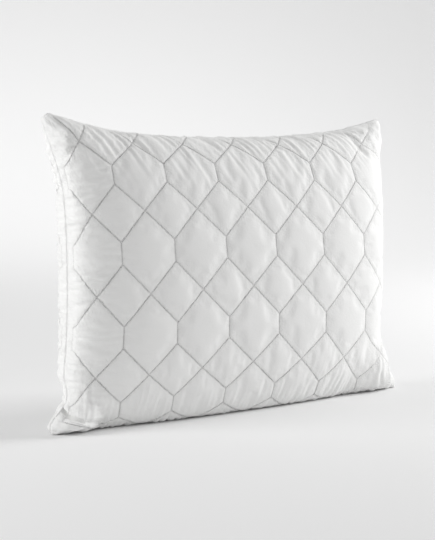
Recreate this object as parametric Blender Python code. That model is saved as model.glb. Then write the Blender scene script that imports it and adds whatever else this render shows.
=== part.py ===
"""Quilted bed pillow, standing on one long edge.

Two quilted panels (cover fabric, wadding and lining, held by quilting thread) are sewn
together round their edges and filled with loose fibre. A coil zip closes one short side.
X runs along the width, -Y is the front, +Z is up, and the pillow stands on z = 0.
"""
import bpy
import numpy as np

# ---- driving dimensions, metres ------------------------------------------------------
EAR_TO_EAR_WIDTH = 0.660      # corner to corner along the long edge
EAR_TO_EAR_HEIGHT = 0.478     # corner to corner along the short edge
HALF_THICKNESS = 0.082        # seam plane to the crown of one panel
SIDE_PULL_IN = 0.027          # how far the plain short side bows in between its corners
ZIP_SIDE_PULL_IN = 0.015      # the zip's tape holds the other short side straighter
TOP_PULL_IN = 0.030           # how far the top side sags between its corners
CORNER_DEPTH = 0.012          # seam plane to the outer face just inside a corner
PANEL_WIDTH = 0.700           # one panel, laid flat
PANEL_HEIGHT = 0.512
FOOT_DEPTH = 0.030            # fabric pressed flat on each side of the bottom seam
FOOT_FLAT_SHARE = 0.80        # share of the width that is pressed flat
FOOT_SINK = 0.006             # how far the weight presses the middle down

HEX_PITCH = 0.094             # quilting: width of one hexagon
ROW_PITCH = 0.1225            # quilting: tip to tip height of one hexagon
HEX_SIDE = 0.033              # quilting: length of a hexagon's upright side
FIRST_COLUMN = 0.016          # left seam to the first upright sides
FIRST_TIP = 0.0268            # top seam to the first row of tips
EDGE_STRIP = 0.009            # narrow strip along the top seam
LAST_LINE_MARGIN = 0.005      # least distance from a quilting line to the next edge

COVER_FABRIC = 0.0006
WADDING = 0.0040
LINING = 0.0004
THREAD_WIDTH = 0.0012
THREAD_HEIGHT = 0.0005
SEAM_ALLOWANCE = 0.010
SEAM_HALF_GAP = 0.0009        # seam plane to the face of a seam allowance
SEAM_THREAD_INSET = 0.005
OVERLOCK_WIDTH = 0.0030
FILL_EDGE_GAP = 0.0025        # seam allowance's raw edge to the fill
EAR_REACH = 0.065             # how far a corner's flattened fabric reaches along the seams
EAR_INSET = 0.006             # how much further in the layers start at a corner
COVER_EAR_SHARE = 0.4         # the part of that by which a folded cover thickens at a corner
FIT = 0.0003                  # clearance between touching pieces

TAPE = 0.0006                 # zip tape thickness
TAPE_DEPTH = 0.0088           # how far a tape reaches into the seam
COIL_WIDTH = 0.0020
COIL_HEIGHT = 0.0020
STOP_LENGTH = 0.0030
SLIDER_LENGTH = 0.0080
SLIDER_WALL = 0.0009
BRIDGE = 0.0008               # web between the slider's two plates
PIN_RADIUS = 0.0006
EYE_WALL = 0.0009
EYE_WIDTH = 0.0016
PULLER_THICKNESS = 0.0012
PULLER_WIDTH = 0.0060
PULLER_NECK = 0.0090          # pin to the wide part of the puller
PULLER_LENGTH = 0.0250

LABEL_THICKNESS = 0.0005
LABEL_LENGTH = 0.024
LABEL_MARGIN = 0.003          # from the label's edges to the ends of its seam stretch

# ---- shape of the filled pillow --------------------------------------------------------
ROUNDNESS = 2.3               # exponent of the cross-sections, 2 is an ellipse
BLUNTNESS = 0.72              # below 1 keeps depth near the seams and in the corners
PULL_IN_EXPONENT = 2.5
RIM_BLEND = 4.0               # how quickly fabric positions even out towards a seam

HALF_WIDTH = EAR_TO_EAR_WIDTH / 2
MID_HEIGHT = EAR_TO_EAR_HEIGHT / 2


def section_table(half_length):
    """Arc share, position (-1 to 1) and depth (0 to 1) along one cross-section."""
    angle = np.linspace(0.0, np.pi, 1201)
    position = -np.sign(np.cos(angle)) * np.abs(np.cos(angle)) ** (2 / ROUNDNESS)
    depth = np.abs(np.sin(angle)) ** (2 / ROUNDNESS)
    steps = np.hypot(np.diff(position) * half_length, np.diff(depth) * HALF_THICKNESS)
    arc = np.concatenate([[0.0], np.cumsum(steps)])
    return arc / arc[-1], position, depth


ACROSS = section_table(HALF_WIDTH - SIDE_PULL_IN)
UPWARD = section_table((EAR_TO_EAR_HEIGHT - TOP_PULL_IN) / 2)


def read_section(table, share):
    arc, position, depth = table
    return float(np.interp(share, arc, position)), float(np.interp(share, arc, depth))


# ---- quilting grid ---------------------------------------------------------------------
def column_lines():
    """(distance from the left seam, kind) of the grid's upright lines."""
    lines = [(0.0, "edge")]
    step = 0
    while FIRST_COLUMN + step * HEX_PITCH / 2 < PANEL_WIDTH - 2 * LAST_LINE_MARGIN:
        kind = "tip" if step % 2 else "side"
        lines.append((FIRST_COLUMN + step * HEX_PITCH / 2, kind))
        step += 1
    lines.append((PANEL_WIDTH, "edge"))
    return lines


def row_lines():
    """(distance from the top seam, kind) of the grid's level lines."""
    rise = (ROW_PITCH - HEX_SIDE) / 2
    lines = [(0.0, "edge"), (EDGE_STRIP, "plain")]
    limit = PANEL_HEIGHT - FOOT_DEPTH - LAST_LINE_MARGIN
    tip = FIRST_TIP
    while tip < limit:
        for distance, kind in ((tip, "tip"), (tip + rise, "side"), (tip + rise + HEX_SIDE, "side")):
            if distance < limit:
                lines.append((distance, kind))
        tip += ROW_PITCH
    lines.append((PANEL_HEIGHT - FOOT_DEPTH, "plain"))
    lines.append((PANEL_HEIGHT, "edge"))
    return lines


COLUMNS = column_lines()
ROWS = row_lines()
LAST_COLUMN = len(COLUMNS) - 1
LAST_ROW = len(ROWS) - 1
SIDE_ROWS = [i for i, (_, kind) in enumerate(ROWS) if kind == "side"]
TIP_ROWS = [i for i, (_, kind) in enumerate(ROWS) if kind == "tip"]
ZIP_TOP_ROW = SIDE_ROWS[0]
ZIP_BOTTOM_ROW = TIP_ROWS[-1]
LABEL_TOP_ROW = ZIP_BOTTOM_ROW + 1
LABEL_BOTTOM_ROW = LABEL_TOP_ROW + 1


def rim_height(row):
    """Height of a grid row where it meets a short side."""
    return EAR_TO_EAR_HEIGHT * (1 - ROWS[row][0] / PANEL_HEIGHT)


def inset_height(height, distance):
    """A height on the rim, drawn in towards mid-height with the rest of the rim."""
    return MID_HEIGHT + (height - MID_HEIGHT) * (1 - distance / MID_HEIGHT)


ZIP_TOP = inset_height(rim_height(ZIP_TOP_ROW), TAPE_DEPTH)
ZIP_BOTTOM = inset_height(rim_height(ZIP_BOTTOM_ROW), TAPE_DEPTH)
ZIP_LINE = HALF_WIDTH - ZIP_SIDE_PULL_IN      # x of the zipped seam
LEG_OUTER = BRIDGE / 2 + FIT + COIL_WIDTH + FIT + SLIDER_WALL + FIT
LEG_INNER = LEG_OUTER - TAPE
ZIP_HALF_GAP = LEG_OUTER + FIT + THREAD_HEIGHT + FIT


def half_width_at(upright, right_side):
    """Half width at a height of -1 to 1. The zipped stretch of the right side is straight."""
    if right_side:
        top = 2 * rim_height(ZIP_TOP_ROW) / EAR_TO_EAR_HEIGHT - 1
        bottom = 2 * rim_height(LABEL_BOTTOM_ROW) / EAR_TO_EAR_HEIGHT - 1
        beyond_top = (upright - top) / (1 - top)
        beyond_bottom = (bottom - upright) / (1 + bottom)
        return ZIP_LINE + ZIP_SIDE_PULL_IN * max(0.0, beyond_top, beyond_bottom) ** 1.4
    return HALF_WIDTH - SIDE_PULL_IN * (1 - abs(upright) ** PULL_IN_EXPONENT)


def front_point(column, row):
    """A grid point of the front panel's outer face."""
    across = COLUMNS[column][0] / PANEL_WIDTH
    down = ROWS[row][0] / PANEL_HEIGHT
    sideways, depth_across = read_section(ACROSS, across)
    upright, depth_up = read_section(UPWARD, 1 - down)
    even_upright = 1 - 2 * down
    even_sideways = 2 * across - 1
    side_blend = abs(sideways) ** RIM_BLEND
    edge_blend = abs(upright) ** RIM_BLEND
    height = upright + (even_upright - upright) * side_blend
    sideways = sideways + (even_sideways - sideways) * edge_blend
    x = sideways * half_width_at(height, sideways > 0)
    middle = 1 - abs(sideways) ** PULL_IN_EXPONENT
    top = EAR_TO_EAR_HEIGHT - TOP_PULL_IN * middle
    bottom = -FOOT_SINK * middle
    z = bottom + (top - bottom) * (height + 1) / 2
    if row >= LAST_ROW - 1:
        ear = max(0.0, (abs(sideways) - FOOT_FLAT_SHARE) / (1 - FOOT_FLAT_SHARE))
        z = rim_height(row) * ear
    fullness = (depth_across * depth_up) ** BLUNTNESS
    depth = CORNER_DEPTH + (HALF_THICKNESS - CORNER_DEPTH) * fullness
    return np.array([x, -depth, z])


def on_rim(column, row):
    return column in (0, LAST_COLUMN) or row in (0, LAST_ROW)


def seam_half_gap(column, row):
    if column == LAST_COLUMN and ZIP_TOP_ROW <= row <= ZIP_BOTTOM_ROW:
        return ZIP_HALF_GAP
    return SEAM_HALF_GAP


def front_grid():
    """Points and outward unit normals of the front panel, indexed by column and row."""
    points = np.zeros((LAST_COLUMN + 1, LAST_ROW + 1, 3))
    for column in range(LAST_COLUMN + 1):
        for row in range(LAST_ROW + 1):
            point = front_point(column, row)
            if on_rim(column, row):
                point[1] = -seam_half_gap(column, row)
            points[column, row] = point
    normals = np.zeros_like(points)
    for a, b, c in grid_triangles():
        face = np.cross(points[b] - points[a], points[c] - points[a])
        for corner in (a, b, c):
            normals[corner] += face
    lengths = np.linalg.norm(normals, axis=2, keepdims=True)
    return points, normals / lengths


def grid_triangles():
    """Grid cells cut along the quilting diagonals, facing the front."""
    triangles = []
    for column in range(LAST_COLUMN):
        for row in range(LAST_ROW):
            upper_left = (column, row)
            upper_right = (column + 1, row)
            lower_left = (column, row + 1)
            lower_right = (column + 1, row + 1)
            if falls_to_right(column, row):
                triangles.append((upper_left, lower_left, lower_right))
                triangles.append((upper_left, lower_right, upper_right))
            else:
                triangles.append((upper_left, lower_left, upper_right))
                triangles.append((upper_right, lower_left, lower_right))
    return triangles


def falls_to_right(column, row):
    """Whether a cell's diagonal runs from its upper left to its lower right corner."""
    kinds = (COLUMNS[column][1], ROWS[row][1], ROWS[row + 1][1])
    if kinds[1:] == ("tip", "side"):
        return kinds[0] == "tip"
    if kinds[1:] == ("side", "tip"):
        return kinds[0] == "side"
    right_half = column >= LAST_COLUMN / 2
    lower_half = row >= LAST_ROW / 2
    return right_half == lower_half


POINTS, NORMALS = front_grid()


def rim_loop():
    """Grid indices round the rim, clockwise seen from the front, from the top left corner."""
    loop = [(column, 0) for column in range(LAST_COLUMN)]
    loop += [(LAST_COLUMN, row) for row in range(LAST_ROW)]
    loop += [(column, LAST_ROW) for column in range(LAST_COLUMN, 0, -1)]
    loop += [(0, row) for row in range(LAST_ROW, 0, -1)]
    return loop


RIM = rim_loop()


def inset_rim(index, distance, depth):
    """A rim point moved in from the seam, in a plane at the given depth."""
    x, _, z = POINTS[index]
    return np.array([x * (1 - distance / HALF_WIDTH), -depth, inset_height(z, distance)])


def ear_inset(index):
    """Extra distance to the seam at a slender corner, falling to nothing along the sides."""
    x, _, z = POINTS[index]
    away = np.hypot(HALF_WIDTH - abs(x), MID_HEIGHT - abs(z - MID_HEIGHT))
    return EAR_INSET * max(0.0, 1 - away / EAR_REACH)


# ---- building blocks -------------------------------------------------------------------
def material(name, colour, roughness, metallic=0.0):
    made = bpy.data.materials.new(name)
    made.use_nodes = True
    shader = made.node_tree.nodes["Principled BSDF"]
    shader.inputs["Base Color"].default_value = (*colour, 1.0)
    shader.inputs["Roughness"].default_value = roughness
    shader.inputs["Metallic"].default_value = metallic
    return made


def add_object(name, vertices, faces, look, smooth=False):
    mesh = bpy.data.meshes.new(name)
    mesh.from_pydata([tuple(float(v) for v in vertex) for vertex in vertices], [], faces)
    mesh.update()
    made = bpy.data.objects.new(name, mesh)
    bpy.context.scene.collection.objects.link(made)
    mesh.materials.append(look)
    if smooth:
        mesh.shade_smooth()
        mesh.set_sharp_from_angle(angle=0.6)
    return made


class Surface:
    """Collects points and faces, and can turn them into the back panel's."""

    def __init__(self, back=False):
        self.vertices = []
        self.faces = []
        self.back = back

    def point(self, position):
        x, y, z = position
        self.vertices.append((x, -y if self.back else y, z))
        return len(self.vertices) - 1

    def face(self, *corners):
        self.faces.append(corners[::-1] if self.back else corners)

    def strip(self, first, second, closed=True):
        """Quads between two rows of points, facing away from the turn first to second."""
        count = len(first) if closed else len(first) - 1
        for i in range(count):
            j = (i + 1) % len(first)
            self.face(first[i], first[j], second[j], second[i])


def panel_face(surface, offset, rim_point):
    """Adds the panel's grid, offset inward, and returns its point numbers."""
    numbers = {}
    for column in range(LAST_COLUMN + 1):
        for row in range(LAST_ROW + 1):
            index = (column, row)
            if on_rim(column, row):
                position = rim_point(index)
            else:
                position = POINTS[index] - NORMALS[index] * offset
            numbers[index] = surface.point(position)
    return numbers


def cover(name, look, back=False):
    """Cover fabric with its seam allowance turned into the pillow."""
    made = Surface(back)
    outer = panel_face(made, 0.0, lambda i: POINTS[i])
    inner = panel_face(
        made,
        COVER_FABRIC,
        lambda i: inset_rim(
            i, COVER_FABRIC + COVER_EAR_SHARE * ear_inset(i), seam_half_gap(*i) + COVER_FABRIC
        ),
    )
    for a, b, c in grid_triangles():
        made.face(outer[a], outer[b], outer[c])
        made.face(inner[c], inner[b], inner[a])
    raw_outer = [made.point(inset_rim(i, SEAM_ALLOWANCE, seam_half_gap(*i))) for i in RIM]
    raw_inner = [
        made.point(inset_rim(i, SEAM_ALLOWANCE, seam_half_gap(*i) + COVER_FABRIC)) for i in RIM
    ]
    made.strip([outer[i] for i in RIM], raw_outer)
    made.strip(raw_outer, raw_inner)
    made.strip(raw_inner, [inner[i] for i in RIM])
    return add_object(name, made.vertices, made.faces, look, smooth=True)


def layer(name, look, start, thickness, back=False):
    """A layer behind the cover, from start to start plus thickness below its outer face."""
    made = Surface(back)

    def rim_at(distance):
        return lambda i: inset_rim(
            i, distance + ear_inset(i), seam_half_gap(*i) + COVER_FABRIC + FIT
        )

    outer = panel_face(made, start, rim_at(start))
    inner = panel_face(made, start + thickness, rim_at(start + thickness))
    for a, b, c in grid_triangles():
        made.face(outer[a], outer[b], outer[c])
        made.face(inner[c], inner[b], inner[a])
    made.strip([outer[i] for i in RIM], [inner[i] for i in RIM])
    return add_object(name, made.vertices, made.faces, look, smooth=True)


def fibre_fill(look, start):
    """The loose fibre, one closed cushion inside both linings."""
    rim_inset = SEAM_ALLOWANCE + FILL_EDGE_GAP
    front = Surface()
    numbers = panel_face(front, start, lambda i: inset_rim(i, rim_inset, SEAM_HALF_GAP + FIT))
    back = Surface(back=True)
    panel_face(back, start, lambda i: inset_rim(i, rim_inset, SEAM_HALF_GAP + FIT))
    shift = len(front.vertices)
    faces = []
    for a, b, c in grid_triangles():
        triangle = (numbers[a], numbers[b], numbers[c])
        faces.append(triangle)
        faces.append(tuple(shift + n for n in reversed(triangle)))
    rim = [numbers[i] for i in RIM]
    for i, first in enumerate(rim):
        second = rim[(i + 1) % len(rim)]
        faces.append((first, second, shift + second, shift + first))
    return add_object("fibre_fill", front.vertices + back.vertices, faces, look, smooth=True)


def quilting_edges():
    """Pairs of grid points joined by a line of quilting."""
    edges = []
    for column, (_, column_kind) in enumerate(COLUMNS[:-1]):
        for row in range(LAST_ROW):
            kinds = (ROWS[row][1], ROWS[row + 1][1])
            if kinds == ("side", "side") and column_kind == "side":
                edges.append(((column, row), (column, row + 1)))
            slanted = kinds in (("tip", "side"), ("side", "tip"))
            if slanted and "edge" not in (column_kind, COLUMNS[column + 1][1]):
                if falls_to_right(column, row):
                    edges.append(((column, row), (column + 1, row + 1)))
                else:
                    edges.append(((column + 1, row), (column, row + 1)))
    return edges


def mitred_corners(here, normal, directions):
    """Corner points round a joint of ribbons, one between each two neighbouring directions."""
    first = directions[0]
    second = np.cross(normal, first)
    turns = [np.arctan2(d @ second, d @ first) % (2 * np.pi) for d in directions]
    order = np.argsort(turns)
    corners = {}
    half = THREAD_WIDTH / 2
    for place, k in enumerate(order):
        following = order[(place + 1) % len(order)]
        opening = (turns[following] - turns[k]) % (2 * np.pi)
        if len(order) == 1:
            opening = 2 * np.pi
        if opening > 1.5 * np.pi:
            left = [here + half * np.cross(normal, directions[k])]
            right = [here - half * np.cross(normal, directions[following])]
            corners[k, following] = left + right
        else:
            middle = turns[k] + opening / 2
            reach = half / np.sin(opening / 2)
            along = np.cos(middle) * first + np.sin(middle) * second
            corners[k, following] = [here + reach * along]
    return order, corners


def quilting_thread(name, look, back=False):
    """One net of flat thread lines lying on the cover along the quilting pattern."""
    edges = quilting_edges()
    neighbours = {}
    for a, b in edges:
        neighbours.setdefault(a, []).append(b)
        neighbours.setdefault(b, []).append(a)
    made = Surface(back)
    sides = {}
    for node, ends in neighbours.items():
        normal = NORMALS[node]
        directions = []
        for end in ends:
            run = POINTS[end] - POINTS[node]
            run = run - normal * (run @ normal)
            directions.append(run / np.linalg.norm(run))
        order, corners = mitred_corners(POINTS[node], normal, directions)
        ring = []
        for place, k in enumerate(order):
            following = order[(place + 1) % len(order)]
            numbers = []
            for corner in corners[k, following]:
                low = made.point(corner + normal * FIT)
                high = made.point(corner + normal * (FIT + THREAD_HEIGHT))
                numbers.append((low, high))
            sides.setdefault((node, ends[k]), {})["left"] = numbers[0]
            sides.setdefault((node, ends[following]), {})["right"] = numbers[-1]
            ring += numbers
            if len(numbers) == 2:
                made.face(numbers[0][0], numbers[1][0], numbers[1][1], numbers[0][1])
        if len(ring) > 2:
            made.face(*[high for _, high in ring])
            made.face(*[low for low, _ in reversed(ring)])
    for a, b in edges:
        left, right = sides[a, b]["left"], sides[a, b]["right"]
        far_right, far_left = sides[b, a]["left"], sides[b, a]["right"]
        made.face(right[1], far_right[1], far_left[1], left[1])
        made.face(left[0], far_left[0], far_right[0], right[0])
        made.face(left[0], left[1], far_left[1], far_left[0])
        made.face(right[1], right[0], far_right[0], far_right[1])
    return add_object(name, made.vertices, made.faces, look)


def seam_run(name, look, inset, width, half_height):
    """A flat line along the stitched seam, open across the zipped stretch."""
    start = RIM.index((LAST_COLUMN, LABEL_TOP_ROW))
    end = RIM.index((LAST_COLUMN, ZIP_TOP_ROW - 1)) + len(RIM)
    made = Surface()
    rows = []
    for step in range(start, end + 1):
        index = RIM[step % len(RIM)]
        outer = inset_rim(index, inset, 0.0)
        inner = inset_rim(index, inset + width, 0.0)
        lift = np.array([0.0, half_height, 0.0])
        rows.append([made.point(p) for p in (outer - lift, outer + lift, inner + lift, inner - lift)])
    made.face(*rows[0])
    made.face(*reversed(rows[-1]))
    for near, far in zip(rows, rows[1:]):
        for i in range(4):
            j = (i + 1) % 4
            made.face(near[i], far[i], far[j], near[j])
    return add_object(name, made.vertices, made.faces, look)


def loft(name, look, sections, mirrored=False):
    """Joins (height, outline) sections, lowest first. Outlines are anticlockwise from above."""
    count = len(sections[0][1])
    vertices = []
    for height, outline in sections:
        if mirrored:
            outline = [(x, -y) for x, y in reversed(outline)]
        vertices += [(x, y, height) for x, y in outline]
    top = len(vertices) - count
    faces = [tuple(reversed(range(count))), tuple(range(top, top + count))]
    for start in range(0, top, count):
        for i in range(count):
            j = (i + 1) % count
            faces.append((start + i, start + j, start + count + j, start + count + i))
    return add_object(name, vertices, faces, look)


def prism(name, look, outline, bottom, top, mirrored=False):
    return loft(name, look, [(bottom, outline), (top, outline)], mirrored)


def box_outline(x_low, x_high, y_low, y_high):
    return [(x_low, y_low), (x_high, y_low), (x_high, y_high), (x_low, y_high)]


def rod(name, look, radius, length, centre, sides=16):
    """A round bar along Y."""
    vertices = []
    for y in (-length / 2, length / 2):
        for k in range(sides):
            angle = 2 * np.pi * k / sides
            vertices.append((radius * np.cos(angle), y, radius * np.sin(angle)))
    faces = [tuple(range(sides)), tuple(reversed(range(sides, 2 * sides)))]
    for k in range(sides):
        n = (k + 1) % sides
        faces.append((k, sides + k, sides + n, n))
    made = add_object(name, vertices, faces, look, smooth=True)
    made.location = centre
    return made


def combine(target, operand, operation):
    """Keeps a Boolean on the target and hides its operand as a guide."""
    modifier = target.modifiers.new(operand.name, "BOOLEAN")
    modifier.operation = operation
    modifier.solver = "EXACT"
    modifier.object = operand
    operand.hide_render = True
    operand.display_type = "WIRE"


# ---- the zip ---------------------------------------------------------------------------
COIL_INNER = BRIDGE / 2 + FIT
COIL_OUTER = COIL_INNER + COIL_WIDTH
LIP_HIGH = ZIP_LINE - FIT - 0.0002
LIP_LOW = LIP_HIGH - TAPE
COIL_LOW = LIP_HIGH + FIT
COIL_HIGH = COIL_LOW + COIL_HEIGHT
PLATE_LOW = COIL_HIGH + FIT
PLATE_HIGH = PLATE_LOW + SLIDER_WALL
PIN_X = PLATE_HIGH + FIT + PIN_RADIUS + FIT + EYE_WALL
LUG_HIGH = PIN_X + PIN_RADIUS + SLIDER_WALL
COIL_TOP = ZIP_TOP - STOP_LENGTH - 2 * FIT
COIL_BOTTOM = ZIP_BOTTOM + STOP_LENGTH + 2 * FIT
SLIDER_TOP = COIL_TOP - FIT
SLIDER_CENTRE = SLIDER_TOP - SLIDER_LENGTH / 2


def zip_tape(name, look, mirrored):
    """An L-shaped tape: its lip carries the coil. Past the stops it thins out into the seam."""
    deep = ZIP_LINE - TAPE_DEPTH
    outline = [
        (deep, LEG_INNER),
        (LIP_LOW, LEG_INNER),
        (LIP_LOW, COIL_INNER),
        (LIP_HIGH, COIL_INNER),
        (LIP_HIGH, LEG_OUTER),
        (deep, LEG_OUTER),
    ]
    squeezed_width = SEAM_HALF_GAP - FIT - FIT / 2

    def squeezed(row):
        """The outline where the tape ends, between seam allowances that lie close together."""
        upright = 2 * rim_height(row) / EAR_TO_EAR_HEIGHT - 1
        shift = half_width_at(upright, True) - ZIP_LINE
        share = squeezed_width / (LEG_OUTER - COIL_INNER)
        return [(x + shift, FIT / 2 + (y - COIL_INNER) * share) for x, y in outline]

    lowest = inset_height(rim_height(LABEL_TOP_ROW), TAPE_DEPTH)
    highest = inset_height(rim_height(ZIP_TOP_ROW - 1), TAPE_DEPTH)
    sections = [
        (lowest, squeezed(LABEL_TOP_ROW)),
        (ZIP_BOTTOM, outline),
        (ZIP_TOP, outline),
        (highest, squeezed(ZIP_TOP_ROW - 1)),
    ]
    loft(name, look, sections, mirrored)


def zip_coil(name, look, mirrored):
    outline = box_outline(COIL_LOW, COIL_HIGH, COIL_INNER, COIL_OUTER)
    prism(name, look, outline, COIL_BOTTOM, COIL_TOP, mirrored)


def zip_stitching(name, look, mirrored):
    middle = ZIP_LINE - TAPE_DEPTH / 2
    outline = box_outline(
        middle - THREAD_WIDTH / 2, middle + THREAD_WIDTH / 2,
        LEG_OUTER + FIT, LEG_OUTER + FIT + THREAD_HEIGHT,
    )
    prism(name, look, outline, ZIP_BOTTOM + FIT, ZIP_TOP - FIT, mirrored)


def zip_slider(look):
    """Two plates joined by a web, with sides round the coils and lugs for the puller's pin."""
    wall_in = COIL_OUTER + FIT
    wall_out = wall_in + SLIDER_WALL
    lug_in = EYE_WIDTH / 2 + FIT
    lug_out = lug_in + SLIDER_WALL
    foot_high = LIP_LOW - FIT
    foot_low = foot_high - SLIDER_WALL
    foot_out = LEG_INNER - FIT
    half = [
        (foot_low, foot_out),
        (foot_high, foot_out),
        (foot_high, BRIDGE / 2),
        (PLATE_LOW, BRIDGE / 2),
        (PLATE_LOW, wall_in),
        (COIL_LOW, wall_in),
        (COIL_LOW, wall_out),
        (PLATE_HIGH, wall_out),
        (PLATE_HIGH, lug_out),
        (LUG_HIGH, lug_out),
        (LUG_HIGH, lug_in),
        (PLATE_HIGH, lug_in),
    ]
    outline = [(x, y) for x, y in reversed(half)] + [(x, -y) for x, y in half]
    outline = outline[::-1]
    body = prism("zip_slider", look, outline, -SLIDER_LENGTH / 2, SLIDER_LENGTH / 2)
    body.location = (0.0, 0.0, SLIDER_CENTRE)
    pin = rod("slider_pin_guide", look, PIN_RADIUS, 2 * lug_out - 2 * FIT, (PIN_X, 0, SLIDER_CENTRE))
    combine(body, pin, "UNION")
    return body


def zip_puller(look):
    """A pull tab with a round eye on the slider's pin, hanging straight down."""
    half = PULLER_THICKNESS / 2
    centre = (PIN_X, 0.0, SLIDER_CENTRE)
    grip_outline = box_outline(-half, half, -PULLER_WIDTH / 2, PULLER_WIDTH / 2)
    grip = prism("zip_puller", look, grip_outline, -PULLER_LENGTH, -PULLER_NECK)
    grip.location = centre
    neck_outline = box_outline(-half, half, -EYE_WIDTH / 2, EYE_WIDTH / 2)
    neck = prism("puller_neck_guide", look, neck_outline, -PULLER_NECK - PULLER_THICKNESS, 0.0)
    neck.location = centre
    eye = rod("puller_eye_guide", look, PIN_RADIUS + FIT + EYE_WALL, EYE_WIDTH, centre, 24)
    bore = rod("puller_bore_guide", look, PIN_RADIUS + FIT, 2 * EYE_WIDTH, centre, 24)
    combine(grip, neck, "UNION")
    combine(grip, eye, "UNION")
    combine(grip, bore, "DIFFERENCE")
    return grip


def zip_stops(look):
    for name, mirrored in (("zip_top_stop_front", True), ("zip_top_stop_back", False)):
        outline = box_outline(COIL_LOW, COIL_HIGH, COIL_INNER, COIL_OUTER)
        prism(name, look, outline, COIL_TOP + FIT, COIL_TOP + FIT + STOP_LENGTH, mirrored)
    outline = box_outline(COIL_LOW, COIL_HIGH, -COIL_OUTER, COIL_OUTER)
    prism("zip_bottom_stop", look, outline, COIL_BOTTOM - FIT - STOP_LENGTH, COIL_BOTTOM - FIT)


def care_label(look):
    """A blank label caught in the seam below the zip and turned to the back."""
    half = LABEL_THICKNESS / 2
    caught = ZIP_LINE - SEAM_THREAD_INSET / 2
    proud = ZIP_LINE + 2 * FIT
    outline = [
        (caught, -half),
        (proud + LABEL_THICKNESS, -half),
        (proud + LABEL_THICKNESS, LABEL_LENGTH),
        (proud, LABEL_LENGTH),
        (proud, half),
        (caught, half),
    ]
    bottom = rim_height(LABEL_BOTTOM_ROW) + LABEL_MARGIN
    prism("care_label", look, outline, bottom, rim_height(LABEL_TOP_ROW) - LABEL_MARGIN)


def build():
    for old in list(bpy.data.objects):
        bpy.data.objects.remove(old, do_unlink=True)
    cotton = material("white_cotton_percale", (0.86, 0.86, 0.87), 0.85)
    wadding = material("polyester_wadding", (0.90, 0.90, 0.90), 0.95)
    lining = material("spunbonded_lining", (0.88, 0.88, 0.88), 0.90)
    fibre = material("hollow_polyester_fibre", (0.92, 0.92, 0.92), 0.95)
    thread = material("white_polyester_thread", (0.82, 0.82, 0.83), 0.55)
    tape = material("woven_polyester_tape", (0.84, 0.84, 0.85), 0.80)
    coil = material("nylon_monofilament_coil", (0.80, 0.80, 0.80), 0.35)
    zinc = material("painted_zinc_slider", (0.78, 0.78, 0.79), 0.40)
    satin = material("woven_satin_label", (0.88, 0.88, 0.88), 0.50)

    wadding_start = COVER_FABRIC + FIT
    lining_start = wadding_start + WADDING + FIT
    fill_start = lining_start + LINING + FIT
    for side, back in (("front", False), ("back", True)):
        cover(f"{side}_cover", cotton, back)
        layer(f"{side}_wadding", wadding, wadding_start, WADDING, back)
        layer(f"{side}_lining", lining, lining_start, LINING, back)
        quilting_thread(f"{side}_quilting_thread", thread, back)
        zip_tape(f"zip_tape_{side}", tape, not back)
        zip_coil(f"zip_coil_{side}", coil, not back)
        zip_stitching(f"zip_stitching_{side}", thread, not back)
    fibre_fill(fibre, fill_start)
    thread_half = SEAM_HALF_GAP - FIT
    seam_run("seam_thread", thread, SEAM_THREAD_INSET, THREAD_WIDTH, thread_half)
    raw_edge = SEAM_ALLOWANCE + FIT
    seam_run("overlock_thread", thread, raw_edge, THREAD_HEIGHT, OVERLOCK_WIDTH / 2)
    zip_slider(zinc)
    zip_puller(zinc)
    zip_stops(coil)
    care_label(satin)


build()
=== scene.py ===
"""Quilted bed pillow standing on one long edge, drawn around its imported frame.

Each panel starts from the filled pillow's outline, is blown up as cloth between its
quilting lines, and then gets its layers, stitching, zip and label.
X runs along the width, -Y is the front and +Z is up. Lengths are in metres.
"""
import math

import bpy
import numpy as np
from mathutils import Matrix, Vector


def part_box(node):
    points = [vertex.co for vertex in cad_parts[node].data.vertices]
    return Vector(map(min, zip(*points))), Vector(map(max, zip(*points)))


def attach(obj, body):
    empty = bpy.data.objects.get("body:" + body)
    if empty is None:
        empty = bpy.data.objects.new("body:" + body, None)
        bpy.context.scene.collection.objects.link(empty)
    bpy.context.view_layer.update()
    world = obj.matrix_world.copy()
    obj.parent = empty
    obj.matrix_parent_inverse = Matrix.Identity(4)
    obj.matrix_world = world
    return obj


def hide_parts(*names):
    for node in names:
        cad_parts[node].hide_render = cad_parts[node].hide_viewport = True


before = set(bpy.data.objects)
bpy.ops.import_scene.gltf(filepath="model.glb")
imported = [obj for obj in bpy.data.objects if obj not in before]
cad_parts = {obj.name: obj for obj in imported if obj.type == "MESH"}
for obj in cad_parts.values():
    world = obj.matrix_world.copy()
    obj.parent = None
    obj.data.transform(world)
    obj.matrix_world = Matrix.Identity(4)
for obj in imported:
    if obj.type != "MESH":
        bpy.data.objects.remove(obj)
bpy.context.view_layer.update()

bl_info = {
    "name": "Quilted Bed Pillow",
    "version": (1, 0, 0),
    "blender": (4, 5, 0),
    "location": "3D Viewport > Sidebar > Pillow",
    "description": "Builds a quilted bed pillow with its layers, stitching and side zip",
    "category": "Add Mesh",
}

# ---- sizes shared with the frame -------------------------------------------------------
EAR_TO_EAR_WIDTH = 0.660
EAR_TO_EAR_HEIGHT = 0.478
HALF_THICKNESS = 0.082
SIDE_PULL_IN = 0.027            # how far a side bows in between its ears
ZIP_SIDE_PULL_IN = 0.015
TOP_PULL_IN = 0.030
CORNER_DEPTH = 0.012
FOOT_SINK = 0.006               # how far the weight presses the middle down
ROUNDNESS = 2.3
BLUNTNESS = 0.72
PULL_IN_EXPONENT = 2.5
RIM_BLEND = 4.0
STRAIGHT_SEAM_TOP = 0.4112      # the right side's seam is straight between these heights
STRAIGHT_SEAM_BOTTOM = 0.0373
HALF_WIDTH = EAR_TO_EAR_WIDTH / 2
MID_HEIGHT = EAR_TO_EAR_HEIGHT / 2

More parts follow.
